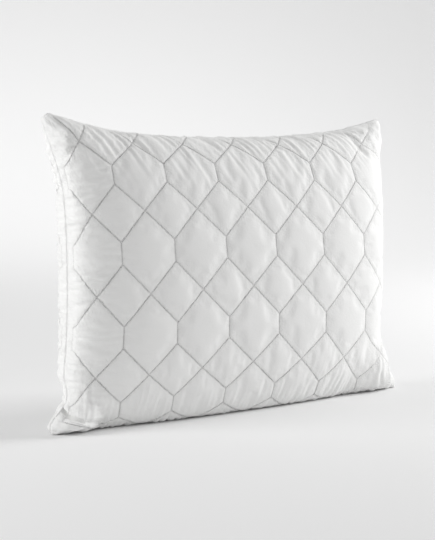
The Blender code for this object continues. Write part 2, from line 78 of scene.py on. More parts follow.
ZIP_LINE = HALF_WIDTH - ZIP_SIDE_PULL_IN
ZIP_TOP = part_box("zip_top_stop_front")[1][2]
ZIP_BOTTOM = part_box("zip_bottom_stop")[0][2]
ZIP_HALF_GAP = 0.0049
SEAM_HALF_GAP = 0.0002
SEAM_ALLOWANCE = 0.010
COVER_FABRIC = 0.0006
TAPE_INNER = 0.0036             # seam plane to the two faces of a zip tape's leg
TAPE_OUTER = 0.0042
TAPE_DEPTH = 0.0088
LIP_INSET = 0.0005              # the zipped seam's line to the outer face of a tape's lip
LAYER_GAP = 0.0004
THREAD_RADIUS = 0.00028
RUN_POINTS = 25
SEAM_STITCH = {"length": 0.0026, "width": 0.0005, "thickness": 0.0005, "unevenness": 0.0}
SEAM_STITCH_PITCH = 0.003
OVERLOCK_PITCH = 0.0022

# ---- quilting, laid flat ---------------------------------------------------------------
PANEL_WIDTH = 0.700
PANEL_HEIGHT = 0.512
HALF_PITCH = 0.0492             # half the width of a hexagon
RISE = 0.04475                  # a hexagon's tip to its upright side
HEX_SIDE = 0.033
ROW_PITCH = 2 * RISE + HEX_SIDE
FIRST_COLUMN = 0.010
FIRST_TIP = 0.0268
LAST_TIP = 0.500                # the lowest tips, just above the bottom seam
HEX_COLUMNS = 7
HEX_ROWS = 4
COLUMN_STEPS = 9                # mesh steps between neighbouring quilting columns
RISE_STEPS = 9
SIDE_STEPS = 7
GROOVE_DEPTH = 0.0009           # how a line of quilting draws the cloth in
GROOVE_WIDTH = 0.0016
FURROW_REACH = 0.0014           # half the width of the crisp furrow in the middle of it
# painted shade: the cotton's colour is darkened to this grey within this reach of a line of quilting
FURROW_SHADE_REACH = 0.0012
FURROW_SHADE = "#F2F2F2"
CREASES = (                     # start and end on the flat cloth, width, depth
    ((0.430, 0.006), (0.452, 0.045), 0.0035, 0.0030),
    ((0.622, 0.004), (0.655, 0.060), 0.0050, 0.0045),
    ((0.300, 0.008), (0.330, 0.050), 0.0040, 0.0022),
    ((0.150, 0.006), (0.185, 0.050), 0.0040, 0.0020),
    ((0.001, 0.452), (0.080, 0.488), 0.0050, 0.0070),
    ((0.010, 0.060), (0.050, 0.030), 0.0040, 0.0030),
)

# where the same lines lie on the filled pillow, as lengths along its skin
SKIN_FIRST_COLUMN = -0.0197
SKIN_HALF_PITCH = 0.0492
SKIN_FIRST_TIP = 0.0118
SKIN_RISE = 0.0470
SKIN_SIDE = 0.0335
SKIN_EDGE_MARGIN = 0.0045
SKIN_LAST_TIP_MARGIN = 0.012
LEAST_ROW_GAP = 0.012

# corner x, corner z, reach, sideways pull, lift, extra plumpness of each ear and of the
# pinch above the lower left one
EARS = (
    (-0.330, 0.478, 0.120, -0.019, 0.011, 0.45),
    (-0.330, 0.000, 0.070, -0.023, 0.000, 1.60),
    (-0.328, 0.050, 0.040, 0.010, 0.000, -0.40),
    (0.330, 0.000, 0.120, 0.032, 0.000, 0.25),
    (0.330, 0.478, 0.100, 0.008, 0.006, 0.20),
)
EAR_BLUNT_REACH = 0.022
EAR_BLUNTING = 0.009
LEANS = ((-0.335, 0.110, 0.020), (0.345, 0.120, 0.022))     # corner x, reach, lean

# ---- how the cloth is blown up ---------------------------------------------------------
CELL_EXCESS = 0.007             # spare cloth in the middle of a panel
EDGE_EXCESS = 0.16              # spare cloth gathered along the seams
EDGE_REACH = 0.040
LINE_SINK = 0.0006              # how deep the quilting lines are drawn in
MOST_MOVE = 0.011
LINE_ROUNDING = 0.004           # how far from a line the cloth reaches most of its crown
PRESSURE = 2.2
FRAMES = 20
FLOOR_BLEND = 0.004
FLOOR_HOLD = 0.0016             # cloth this near the floor stays there

CLOTH_SETTINGS = {
    "quality": 4, "mass": 0.15, "use_pressure": True, "uniform_pressure_force": PRESSURE,
    "vertex_group_mass": "held", "vertex_group_shrink": "spare",
    "shrink_min": -CELL_EXCESS, "shrink_max": -EDGE_EXCESS,
    "tension_stiffness": 15, "compression_stiffness": 15, "shear_stiffness": 8,
    "bending_stiffness": 4.0, "tension_damping": 8, "compression_damping": 8, "air_damping": 3.0,
}

# ---- hidden layers ---------------------------------------------------------------------
WADDING_DEPTH = 0.0024          # the cover's outer face to the wadding
LINING_THICKNESS = 0.0004
FILL_DEPTH = 0.0075
LAYER_EAR_INSET = 0.004
LAYER_REACH = 4
LAYER_COLUMNS = 46
LAYER_ROWS = 40
LABEL_THICKNESS = 0.0004
METAL_NODES = ("zip_slider", "zip_puller")
STOP_NODES = ("zip_top_stop_front", "zip_top_stop_back", "zip_bottom_stop")

# ---- studio ----------------------------------------------------------------------------
SWEEP_START = 2.6               # where the floor starts to curve up into the wall
SWEEP_RADIUS = 6.0
SWEEP_STEPS = 24
SWEEP_SIDES = 96
SWEEP_TURN = 1.0                # radians the floor turns upwards
CAMERA_PLACE = (-1.3605, -1.8668, 0.4519)
CAMERA_LENS = 93.65             # millimetres
CAMERA_DIP = 5.478
CAMERA_TURN = 35.66
WORLD_STRENGTH = 0.45
LIGHTS = (                      # name, place, target, size, power
    ("key_softbox", (2.7, -0.7, 1.3), (0.0, 0.0, 0.22), (1.1, 1.3), 62.0),
    ("left_softbox", (-2.4, 0.75, 1.1), (0.0, 0.0, 0.2), (1.2, 1.6), 31.0),
    ("wall_softbox", (1.0, 2.6, 3.4), (3.0, 5.0, 1.2), (3.0, 1.2), 78.0),
)


# ---- the filled pillow's outline -------------------------------------------------------
def section_table(half_length):
    """Length along the skin, position (-1 to 1) and depth (0 to 1) of one cross-section."""
    angle = np.linspace(0.0, np.pi, 2401)
    position = -np.sign(np.cos(angle)) * np.abs(np.cos(angle)) ** (2 / ROUNDNESS)
    depth = np.abs(np.sin(angle)) ** (2 / ROUNDNESS)
    steps = np.hypot(np.diff(position) * half_length, np.diff(depth) * HALF_THICKNESS)
    return np.concatenate([[0.0], np.cumsum(steps)]), position, depth


ACROSS = section_table(HALF_WIDTH - SIDE_PULL_IN)
UPWARD = section_table((EAR_TO_EAR_HEIGHT - TOP_PULL_IN) / 2)
SKIN_WIDTH = ACROSS[0][-1]
SKIN_HEIGHT = UPWARD[0][-1]


def eased(share):
    """A share kept between 0 and 1 that starts and ends softly."""
    share = np.clip(share, 0.0, 1.0)
    return share**2 * (3 - 2 * share)


def seam_flare(beyond):
    """How far the right seam runs out past its straight stretch, at this share of the way."""
    return ZIP_SIDE_PULL_IN * np.maximum(0.0, beyond) ** 1.4


def half_width_at(upright, right_side):
    top = 2 * STRAIGHT_SEAM_TOP / EAR_TO_EAR_HEIGHT - 1
    bottom = 2 * STRAIGHT_SEAM_BOTTOM / EAR_TO_EAR_HEIGHT - 1
    beyond = np.maximum((upright - top) / (1 - top), (bottom - upright) / (1 + bottom))
    left = HALF_WIDTH - SIDE_PULL_IN * (1 - np.abs(upright) ** PULL_IN_EXPONENT)
    return np.where(right_side, ZIP_LINE + seam_flare(beyond), left)


def skin_points(across, down):
    """Points of the smooth front skin at these lengths from the left and the top seam."""
    sideways = np.interp(across, ACROSS[0], ACROSS[1])
    depth_across = np.interp(across, ACROSS[0], ACROSS[2])
    upright = np.interp(SKIN_HEIGHT - down, UPWARD[0], UPWARD[1])
    depth_up = np.interp(SKIN_HEIGHT - down, UPWARD[0], UPWARD[2])
    even_upright = 1 - 2 * down / SKIN_HEIGHT
    even_sideways = 2 * across / SKIN_WIDTH - 1
    height = upright + (even_upright - upright) * np.abs(sideways) ** RIM_BLEND
    level = sideways + (even_sideways - sideways) * np.abs(upright) ** RIM_BLEND
    x = level * half_width_at(height, level > 0)
    middle = 1 - np.abs(level) ** PULL_IN_EXPONENT
    top = EAR_TO_EAR_HEIGHT - TOP_PULL_IN * middle
    bottom = -FOOT_SINK * middle
    z = bottom + (top - bottom) * (height + 1) / 2
    z = (z + np.sqrt(z**2 + (FLOOR_BLEND * middle) ** 2)) / 2
    fullness = (depth_across * depth_up) ** BLUNTNESS
    base = CORNER_DEPTH * np.minimum(1.0, 6 * fullness)
    depth = base + (HALF_THICKNESS - CORNER_DEPTH) * fullness
    for corner_x, corner_z, reach, sideways_pull, lift, plump in EARS:
        pull = eased(1 - np.hypot(x - corner_x, z - corner_z) / reach)
        x = x + sideways_pull * pull
        z = np.maximum(z + lift * pull, 0.0)
        depth = depth * (1 + plump * pull)
        from_tip = np.hypot(x - corner_x - sideways_pull, z - corner_z - lift)
        blunt = np.clip(1 - from_tip / EAR_BLUNT_REACH, 0.0, 1.0) ** 2
        if abs(corner_x) == HALF_WIDTH:
            x = x - np.sign(sideways_pull) * EAR_BLUNTING * blunt
        if corner_z > MID_HEIGHT:
            z = z - 0.5 * (lift + EAR_BLUNTING) * blunt
    return np.stack([x, -depth, z], axis=-1)


# ---- the quilted grid ------------------------------------------------------------------
def column_lines():
    """(flat distance from the left seam, length along the skin, mesh steps to it)."""
    lines = [(0.0, 0.0, 0)]
    for k in range(2 * HEX_COLUMNS):
        flat = FIRST_COLUMN + k * HALF_PITCH
        lines.append((flat, SKIN_FIRST_COLUMN + k * SKIN_HALF_PITCH, 2 if k == 0 else COLUMN_STEPS))
    lines.append((PANEL_WIDTH, SKIN_WIDTH, COLUMN_STEPS))
    return lines


def row_lines():
    """(flat distance from the top seam, length down the skin, mesh steps to it)."""
    lines = [(0.0, 0.0, 0)]
    flat, skin, steps = FIRST_TIP, SKIN_FIRST_TIP, 8
    for _ in range(HEX_ROWS):
        lines.append((flat, skin, steps))
        lines.append((flat + RISE, skin + SKIN_RISE, RISE_STEPS))
        lines.append((flat + RISE + HEX_SIDE, skin + SKIN_RISE + SKIN_SIDE, SIDE_STEPS))
        flat += 2 * RISE + HEX_SIDE
        skin += 2 * SKIN_RISE + SKIN_SIDE
        steps = RISE_STEPS
    lines.append((LAST_TIP, skin, RISE_STEPS))
    lines.append((PANEL_HEIGHT, SKIN_HEIGHT, 6))
    return lines


COLUMNS = column_lines()
ROWS = row_lines()
FLAT_COLUMNS = [line[0] for line in COLUMNS]
FLAT_ROWS = [line[0] for line in ROWS]
EVEN_ROWS = FLAT_ROWS[:-2] + [FIRST_TIP + HEX_ROWS * ROW_PITCH, PANEL_HEIGHT + 0.02]
COLUMN_PLACES = np.cumsum([steps for _, _, steps in COLUMNS])
ROW_PLACES = np.cumsum([steps for _, _, steps in ROWS])


def skin_lines():
    """Lengths across and down the skin of every crossing of a column and a row line."""
    across, down = np.meshgrid([c[1] for c in COLUMNS], [r[1] for r in ROWS], indexing="ij")
    s = 2 * across / SKIN_WIDTH - 1
    t = 2 * down / SKIN_HEIGHT - 1
    # how the fill pushes the quilting about: mostly up in the middle and down at the ends
    drop = 0.0058 * s + 0.0324 * s**2 + 0.0025 * s**3 + 0.0070 * s * t
    drop += 0.0223 * s**2 * t - 0.0002 * t**2 - 0.0249 * t**3
    shift = 0.0083 * s**2 - 0.0108 * s**3 + 0.0140 * t - 0.0073 * t**2
    shift += 0.0075 * s * t - 0.0048 * s * t**2
    across = across + shift
    down = down + drop
    inner = slice(1, -1)
    across[inner] = np.clip(across[inner], SKIN_EDGE_MARGIN, SKIN_WIDTH - SKIN_EDGE_MARGIN)
    down[:, inner] = np.clip(down[:, inner], SKIN_EDGE_MARGIN, SKIN_HEIGHT - SKIN_LAST_TIP_MARGIN)
    across[0] = 0.0
    across[-1] = SKIN_WIDTH
    down[:, 0] = 0.0
    down[:, -1] = SKIN_HEIGHT
    for row in range(len(ROWS) - 2, 0, -1):
        down[:, row] = np.minimum(down[:, row], down[:, row + 1] - LEAST_ROW_GAP)
    return across, down


def spread(values):
    """Bilinear values at every mesh node, from values at the crossings of the lines."""
    for places in (COLUMN_PLACES, ROW_PLACES):
        values = np.array([np.interp(np.arange(places[-1] + 1), places, v) for v in values.T])
    return values


def quilting_runs():
    """Lines of quilting as pairs of (column line, row line) crossings."""
    runs = []
    for row in range(HEX_ROWS):
        tip, high, low, next_tip = (1 + 3 * row + step for step in range(4))
        for side in range(0, 2 * HEX_COLUMNS + 1, 2):
            c = 1 + side
            if side < 2 * HEX_COLUMNS:
                runs.append(((c, high), (c, low)))
            for turn in (-1, 1):
                if 1 <= c + turn <= 2 * HEX_COLUMNS:
                    runs.append(((c + turn, tip), (c, high)))
                    runs.append(((c, low), (c + turn, next_tip)))
    return runs


RUNS = quilting_runs()


def run_nodes(run):
    """Mesh nodes along one run of quilting."""
    (c0, r0), (c1, r1) = run
    steps = max(abs(int(COLUMN_PLACES[c1] - COLUMN_PLACES[c0])), int(ROW_PLACES[r1] - ROW_PLACES[r0]))
    return (
        np.linspace(COLUMN_PLACES[c0], COLUMN_PLACES[c1], steps + 1).round().astype(int),
        np.linspace(ROW_PLACES[r0], ROW_PLACES[r1], steps + 1).round().astype(int),
    )


# ---- blowing up the cloth --------------------------------------------------------------
def grid_normals(points):
    """Unit normals of a grid of points, towards the front of a front panel."""
    across = np.gradient(points, axis=0)
    down = np.gradient(points, axis=1)
    normals = np.cross(down, across)
    lengths = np.linalg.norm(normals, axis=2, keepdims=True)
    return normals / np.maximum(lengths, 1e-9)


def edge_distance(across, down):
    """Length along the skin to the left, right, top and bottom seams."""
    return across, SKIN_WIDTH - across, down, SKIN_HEIGHT - down


def pucker_seed(across, down, seed):
    """A faint ripple square to each seam, which starts the puckers."""
    rng = np.random.default_rng(seed)
    left, right, top, bottom = edge_distance(across, down)
    total = np.zeros_like(across)
    for distance, along, pitch, strength, slant in (
        (left, down, 0.015, 1.0, 0.15),
        (right, down, 0.021, 0.25, 0.0),
        (top, across, 0.014, 1.0, 0.55),
        (bottom, across, 0.015, 0.8, 0.1),
    ):
        phase = 2 * np.pi * (along - slant * distance) / pitch
        for share in (0.37, 0.61, 1.0):
            wobble = rng.uniform(0, 2 * np.pi)
            total += strength * np.sin(phase * share + wobble) * np.exp(-distance / EDGE_REACH)
    return total


def grid_faces(columns, rows, start=0):
    """Quads of a grid of nodes, facing the front of a front panel."""
    c, r = np.meshgrid(np.arange(columns - 1), np.arange(rows - 1), indexing="ij")
    first = (start + c * rows + r).ravel()
    return np.stack([first, first + 1, first + rows + 1, first + rows], axis=1)


def mirrored(points):
    return points * np.array([1.0, -1.0, 1.0])


def held_nodes(points):
    """Which nodes the seams and the quilting hold."""
    held = np.zeros(points.shape[:2], bool)
    held[[0, -1]] = True
    held[:, [0, -1]] = True
    for run in RUNS:
        held[run_nodes(run)] = True
    return held


def blow_up(front, back, across, down):
    """Runs the cloth of both panels together and returns their settled nodes."""
    columns, rows = across.shape
    count = columns * rows
    nodes = np.concatenate([front.reshape(-1, 3), back.reshape(-1, 3)])
    faces = np.concatenate([grid_faces(columns, rows), grid_faces(columns, rows, count)[:, ::-1]])
    mesh = bpy.data.meshes.new("cloth")
    mesh.from_pydata(nodes.tolist(), [], faces.tolist())
    cloth = add_object("cloth", mesh)
    held = cloth.vertex_groups.new(name="held")
    for i in np.flatnonzero((held_nodes(front) | (front[..., 2] < FLOOR_HOLD)).ravel()):
        held.add([int(i), int(i) + count], 1.0, "REPLACE")
    shares = zip(edge_distance(across, down), (1.0, 0.25, 1.0, 0.8))
    near = np.maximum.reduce([share * np.exp(-edge / EDGE_REACH) for edge, share in shares]).ravel()
    spare = cloth.vertex_groups.new(name="spare")
    for i in range(count):
        spare.add([i, i + count], float(near[i]), "REPLACE")
    modifier = cloth.modifiers.new("cloth", "CLOTH")
    settings = modifier.settings
    for key, value in CLOTH_SETTINGS.items():
        setattr(settings, key, value)
    settings.effector_weights.gravity = 0.0
    modifier.collision_settings.use_collision = False
    modifier.collision_settings.use_self_collision = False
    modifier.point_cache.frame_start = 1
    modifier.point_cache.frame_end = FRAMES
    scene = bpy.context.scene
    scene.frame_start = 1
    for step in range(1, FRAMES + 1):
        scene.frame_set(step)
    settled = cloth.evaluated_get(bpy.context.evaluated_depsgraph_get()).data
    found = np.empty(len(nodes) * 3, np.float32)
    settled.vertices.foreach_get("co", found)
    bpy.data.objects.remove(cloth)
    bpy.data.meshes.remove(mesh)
    scene.frame_set(1)
    return found.reshape(2, columns, rows, 3).astype(float)


def double(points, axis):
    """Puts a node halfway between neighbours along one axis, on a smooth curve."""
    p = np.moveaxis(points, axis, 0)
    before = np.concatenate([2 * p[:1] - p[1:2], p[:-2]])
    after = np.concatenate([p[2:], 2 * p[-1:] - p[-2:-1]])
    middles = (9 * (p[:-1] + p[1:]) - before - after) / 16
    woven = np.empty((2 * len(p) - 1,) + p.shape[1:])
    woven[0::2] = p
    woven[1::2] = middles
    return np.moveaxis(woven, 0, axis)


def refined(points):
    return double(double(points, 0), 1)


def seam_half_gap(height, x):
    """Half the gap between the two covers at the seam, wider along the zip."""
    heights = [STRAIGHT_SEAM_BOTTOM + 0.031, ZIP_BOTTOM - 0.005, ZIP_TOP + 0.0065, ZIP_TOP + 0.048]
    gap = np.interp(height, heights, [SEAM_HALF_GAP, ZIP_HALF_GAP, ZIP_HALF_GAP, SEAM_HALF_GAP])
    return np.where(x > 0, gap, SEAM_HALF_GAP)


def open_seam(points):
    """Moves a front skin off the seam plane by the seam's half gap."""
    moved = points.copy()
    gap = seam_half_gap(points[..., 2], points[..., 0])
    near = np.clip(1 - (-points[..., 1]) / 0.030, 0.0, 1.0)
    moved[..., 1] -= gap * near
    return moved


def flat_runs():
    """Start and end of every line of quilting on the flat cloth."""
    places = []
    for (c0, r0), (c1, r1) in RUNS:
        places.append(((FLAT_COLUMNS[c0], FLAT_ROWS[r0]), (FLAT_COLUMNS[c1], FLAT_ROWS[r1])))
    reach = HALF_PITCH * FIRST_TIP / RISE
    for tip in FLAT_COLUMNS[2:-1:2]:
        for turn in (-1, 1):
            places.append(((tip, FIRST_TIP), (tip + turn * reach, 0.0)))
    return places


FLAT_RUNS = flat_runs()


def sample(grid, flat_across, flat_down):
    """Bilinear values of a refined grid at places on the flat cloth."""
    c = 2 * np.interp(flat_across, FLAT_COLUMNS, COLUMN_PLACES)
    r = 2 * np.interp(flat_down, FLAT_ROWS, ROW_PLACES)
    c0 = np.minimum(c.astype(int), grid.shape[0] - 2)
    r0 = np.minimum(r.astype(int), grid.shape[1] - 2)
    u, v = (c - c0)[:, None], (r - r0)[:, None]
    upper = grid[c0, r0] * (1 - u) + grid[c0 + 1, r0] * u
    lower = grid[c0, r0 + 1] * (1 - u) + grid[c0 + 1, r0 + 1] * u
    return upper * (1 - v) + lower * v


def along_run(places, start, end):
    """Distance from each place to a straight run, and its unclipped share along the run."""
    start = np.array(start)
    run = np.array(end) - start
    share = (places - start) @ run / (run @ run)
    nearest = start + np.clip(share, 0.0, 1.0)[..., None] * run
    return np.linalg.norm(places - nearest, axis=-1), share


def run_distance(places):
    """Flat distance from each node to the nearest run of quilting."""
    nearest = np.full(places.shape[:-1], 1.0)
    for start, end in FLAT_RUNS:
        nearest = np.minimum(nearest, along_run(places, start, end)[0])
    return nearest


SHAPE = {}


def pillow_shape():
    """The settled skins of both panels, found once and kept for every piece."""
    if SHAPE:
        return SHAPE
    across, down = (spread(lines) for lines in skin_lines())
    flat_lines = np.meshgrid(FLAT_COLUMNS, FLAT_ROWS, indexing="ij")
    flat = np.stack([spread(lines) for lines in flat_lines], axis=-1)
    smooth = open_seam(skin_points(across, down))
    normals = grid_normals(smooth)
    held = held_nodes(smooth)
    sink = np.where(held, LINE_SINK, 0.0)
    sink[[0, -1]] = 0.0
    sink[:, [0, -1]] = 0.0
    edge = np.minimum.reduce(edge_distance(across, down))
    sink *= np.clip(edge / 0.02, 0.0, 1.0)
    starts = []
    for seed in (3, 5):
        ripple = 0.0010 * pucker_seed(across, down, seed) * ~held
        starts.append(smooth + normals * (ripple - sink)[..., None])
    rounded = 1 - np.exp(-run_distance(flat) / LINE_ROUNDING)
    crown = np.where(edge < 0.02, 1 - (1 - rounded) * (edge / 0.02), rounded)[..., None]
    settled = blow_up(starts[0], mirrored(starts[1]), across, down)
    settled = [settled[0], mirrored(settled[1])]
    skins = []
    for points in settled:
        move = points - smooth
        length = np.linalg.norm(move, axis=2, keepdims=True)
        move *= np.minimum(1.0, MOST_MOVE / np.maximum(length, 1e-9))
        rise = np.sum(move * normals, axis=2, keepdims=True) + LINE_SINK
        move -= normals * rise * (1 - crown)
        skins.append(kept_apart(smooth + move))
    SHAPE.update(smooth=smooth, normals=normals, skins=skins, across=across, down=down, flat=flat)
    return SHAPE


def kept_apart(points):
    """A front skin kept above the floor and in front of the seam's half gap."""
    points[..., 2] = np.maximum(points[..., 2], 0.0)
    points[..., 1] = np.minimum(points[..., 1], -seam_half_gap(points[..., 2], points[..., 0]))
    return points


def leaned(nodes):
    """Tips the lower ears towards the front, as the weight above them does."""
    nodes = np.array(nodes, float)
    for corner_x, reach, lean in LEANS:
        nodes[:, 1] -= lean * eased(1 - np.hypot(nodes[:, 0] - corner_x, nodes[:, 2]) / reach)
    return nodes


def rim_numbers(columns, rows):
    """Node numbers round a grid's rim, clockwise from the front."""
    loop = [(c, 0) for c in range(columns - 1)]
    loop += [(columns - 1, r) for r in range(rows - 1)]
    loop += [(c, rows - 1) for c in range(columns - 1, 0, -1)]
    loop += [(0, r) for r in range(rows - 1, 0, -1)]
    return np.array([c * rows + r for c, r in loop])


def drawn_in(points, distance, depth):
    """Rim points moved into the pillow, in a plane at the given depth from the seam."""
    x = points[:, 0] * (1 - distance / HALF_WIDTH)
    z = MID_HEIGHT + (points[:, 2] - MID_HEIGHT) * (1 - distance / MID_HEIGHT)
    return np.stack([x, -np.broadcast_to(depth, x.shape), z], axis=1)


def shell(skin, inside, rims, back):
    """Nodes and faces of a closed shell: skin, rings from its rim inwards, and its inside.

    The inside may be coarser than the skin: it then takes every second node of the last ring.
    """
    count = skin.shape[0] * skin.shape[1]
    nodes = [skin.reshape(-1, 3), inside.reshape(-1, 3)]
    faces = grid_faces(*skin.shape[:2]).tolist()
    faces += grid_faces(*inside.shape[:2], count)[:, ::-1].tolist()
    rings = [rim_numbers(*skin.shape[:2])]
    start = count + inside.shape[0] * inside.shape[1]
    for ring in rims:
        nodes.append(ring)
        rings.append(np.arange(start, start + len(ring)))
        start += len(ring)
    for near, far in zip(rings, rings[1:]):
        faces += np.stack([near, np.roll(near, -1), np.roll(far, -1), far], axis=1).tolist()
    near = rings[-1].tolist()
    last = (rim_numbers(*inside.shape[:2]) + count).tolist()
    step = len(near) // len(last)
    for i, corner in enumerate(last):
        outer = [near[(i * step + k) % len(near)] for k in range(step + 1)]
        faces.append(outer + [last[(i + 1) % len(last)], corner])
    nodes = np.concatenate(nodes)
    if back:
        nodes = mirrored(nodes)
        faces = [face[::-1] for face in faces]
    return leaned(nodes), faces


def add_object(name, data):
    made = bpy.data.objects.new(name, data)
    bpy.context.scene.collection.objects.link(made)
    return made


def add_mesh(name, nodes, faces, material):
    """A new smooth object whose place is in its mesh."""
    mesh = bpy.data.meshes.new(name)
    faces = faces.tolist() if isinstance(faces, np.ndarray) else faces
    mesh.from_pydata(np.asarray(nodes).tolist(), [], faces)
    mesh.materials.append(material)
    mesh.shade_smooth()
    return add_object(name, mesh)


def add_flat_map(made, flat, name="flat_cloth"):
    """Keeps each node's place on the flat cloth as the piece's own UV map."""
    mesh = made.data
    layer = mesh.uv_layers.new(name=name)
    corners = np.empty(len(mesh.loops), np.int32)
    mesh.loops.foreach_get("vertex_index", corners)
    layer.data.foreach_set("uv", flat[corners].astype(np.float32).ravel())


# ---- materials -------------------------------------------------------------------------
def linear(hex_colour):
    """sRGB hex to linear red, green, blue."""
    values = [int(hex_colour[i : i + 2], 16) / 255 for i in (1, 3, 5)]
    return [v / 12.92 if v <= 0.04045 else ((v + 0.055) / 1.055) ** 2.4 for v in values]


def add_node(tree, kind, settings=(), inputs=(), links=()):
    """Adds a node, sets its properties and inputs, and links sockets into its inputs."""
    node = tree.nodes.new(kind)
    for key, value in dict(settings).items():
        setattr(node, key, value)
    for key, value in dict(inputs).items():
        node.inputs[key].default_value = value
    for key, socket in dict(links).items():
        tree.links.new(socket, node.inputs[key])
    return node


def new_material(name, colour, roughness, finish=()):
    """A material, its tree, and its shader with the finish's constants on its sockets."""
    material = bpy.data.materials.new(name)
    material.use_nodes = True
    tree = material.node_tree
    shader = tree.nodes["Principled BSDF"]
    shader.inputs["Base Color"].default_value = (*colour, 1.0)
    shader.inputs["Roughness"].default_value = roughness
    for key, value in dict(finish).items():
        shader.inputs[key].default_value = value
    return material, tree, shader


def mottle(tree, shader, low, high, scale):
    """A faint cloud of two close colours."""
    factor = cloud(tree, object_place(tree), scale, 3.0)
    mix = add_node(tree, "ShaderNodeMix", {"data_type": "RGBA"}, {6: (*low, 1.0), 7: (*high, 1.0)},
                   {"Factor": factor})
    tree.links.new(mix.outputs[2], shader.inputs["Base Color"])
    return mix.outputs[2]


def math_node(tree, operation, *values):
    """A math node's output; each value is a number or a socket."""
    numbers = {i: v for i, v in enumerate(values) if isinstance(v, (int, float))}
    sockets = {i: v for i, v in enumerate(values) if i not in numbers}
    return add_node(tree, "ShaderNodeMath", {"operation": operation}, numbers, sockets).outputs[0]


def object_place(tree):
    return add_node(tree, "ShaderNodeTexCoord").outputs["Object"]


def cloth_place(tree, layer="flat_cloth"):
    return add_node(tree, "ShaderNodeUVMap", {"uv_map": layer}).outputs["UV"]


def node_value(tree, name):
    return add_node(tree, "ShaderNodeAttribute", {"attribute_name": name}).outputs["Fac"]


def cloud(tree, place, scale, detail, distortion=0.0):
    """Height of a random cloud."""
    inputs = {"Scale": scale, "Detail": detail, "Distortion": distortion}
    return add_node(tree, "ShaderNodeTexNoise", (), inputs, {"Vector": place}).outputs["Fac"]


def ribs(tree, place, pitch, direction, distortion=0.0):
    """Height of straight ribs this far apart."""
    inputs = {"Scale": 2 / (pitch * 20), "Distortion": distortion}
    wave = add_node(tree, "ShaderNodeTexWave", {"bands_direction": direction}, inputs, {"Vector": place})
    return wave.outputs["Fac"]


def quilting_distance(tree):
    """Distance on the flat cloth to the nearest line of quilting.

    The quilting map runs from an upright side of a hexagon and from a row of tips.
    """
    parts = add_node(tree, "ShaderNodeSeparateXYZ", links={"Vector": cloth_place(tree, "quilting")})
    sideways = math_node(tree, "PINGPONG", parts.outputs["X"], HALF_PITCH)
    downwards = math_node(tree, "PINGPONG", parts.outputs["Y"], ROW_PITCH / 2)
    length = math.hypot(HALF_PITCH, RISE)
    level = math_node(tree, "MULTIPLY_ADD", sideways, RISE / length, -HALF_PITCH * RISE / length)
    slope = math_node(tree, "MULTIPLY_ADD", downwards, HALF_PITCH / length, level)
    short = math_node(tree, "MAXIMUM", math_node(tree, "SUBTRACT", RISE, downwards), 0.0)
    square = math_node(tree, "MULTIPLY", short, short)
    upright = math_node(tree, "SQRT", math_node(tree, "MULTIPLY_ADD", sideways, sideways, square))
    return math_node(tree, "MINIMUM", math_node(tree, "ABSOLUTE", slope), upright)


def furrow(tree, distance, reach):
    """1 on a line of quilting, fading to 0 at this reach from it."""
    fade = add_node(tree, "ShaderNodeMapRange", {"interpolation_type": "SMOOTHSTEP"},
                    {"From Min": 0.0, "From Max": reach, "To Min": 1.0, "To Max": 0.0},
                    {"Value": distance})
    return math_node(tree, "MULTIPLY", fade.outputs["Result"], node_value(tree, "quilted"))


def woven(tree, thread_pitch):
    """Height of a plain weave: two sets of threads that pass over and under each other."""
    parts = add_node(tree, "ShaderNodeSeparateXYZ", links={"Vector": cloth_place(tree)})
    waves = []
    for axis in ("X", "Y"):
        angle = math_node(tree, "MULTIPLY", parts.outputs[axis], math.pi / thread_pitch)
        waves.append(math_node(tree, "SINE", angle))
    return math_node(tree, "MULTIPLY", *waves)


def bumps(tree, shader, *heights):
    """Chains bump nodes: (height socket, depth in metres, strength)."""
    links = {}
    for height, depth, strength in heights:
        links["Height"] = height
        bump = add_node(tree, "ShaderNodeBump", (), {"Distance": depth, "Strength": strength}, links)
        links["Normal"] = bump.outputs["Normal"]
    tree.links.new(links["Normal"], shader.inputs["Normal"])


def cotton_percale(name, colour):
    """Bleached cotton percale, a tight plain weave: matt, with a faint fuzz at grazing light.

    Threads are 0.3 mm apart, drawn 0.9 mm apart so that they show. Fine creases, a few
    millimetres long, come from the quilting gathering the cloth. Little light reaches the
    furrow that the stitches draw, so the colour there is darkened as painted shade.
    """
    material, tree, shader = new_material(name, colour, 0.88, {
        "Sheen Weight": 0.25, "Sheen Roughness": 0.45, "Specular IOR Level": 0.25,
    })
    mottled = mottle(tree, shader, colour, linear("#FAFAF9"), 9.0)
    distance = quilting_distance(tree)
    # painted shade: the colour is multiplied by a light grey along the furrow of each line of quilting
    shade = add_node(tree, "ShaderNodeMix", {"data_type": "RGBA", "blend_type": "MULTIPLY"},
                     {7: (*linear(FURROW_SHADE), 1.0)},
                     {"Factor": furrow(tree, distance, FURROW_SHADE_REACH), 6: mottled})
    tree.links.new(shade.outputs[2], shader.inputs["Base Color"])
    dip = math_node(tree, "MULTIPLY", furrow(tree, distance, FURROW_REACH), -1.0)
    crinkle = math_node(tree, "MULTIPLY", cloud(tree, cloth_place(tree), 260.0, 2.0, 0.4),
                        node_value(tree, "gather"))
    bumps(tree, shader, (dip, 0.0013, 1.0), (crinkle, 0.0022, 0.8), (woven(tree, 0.0009), 0.0001, 0.35))
    return material


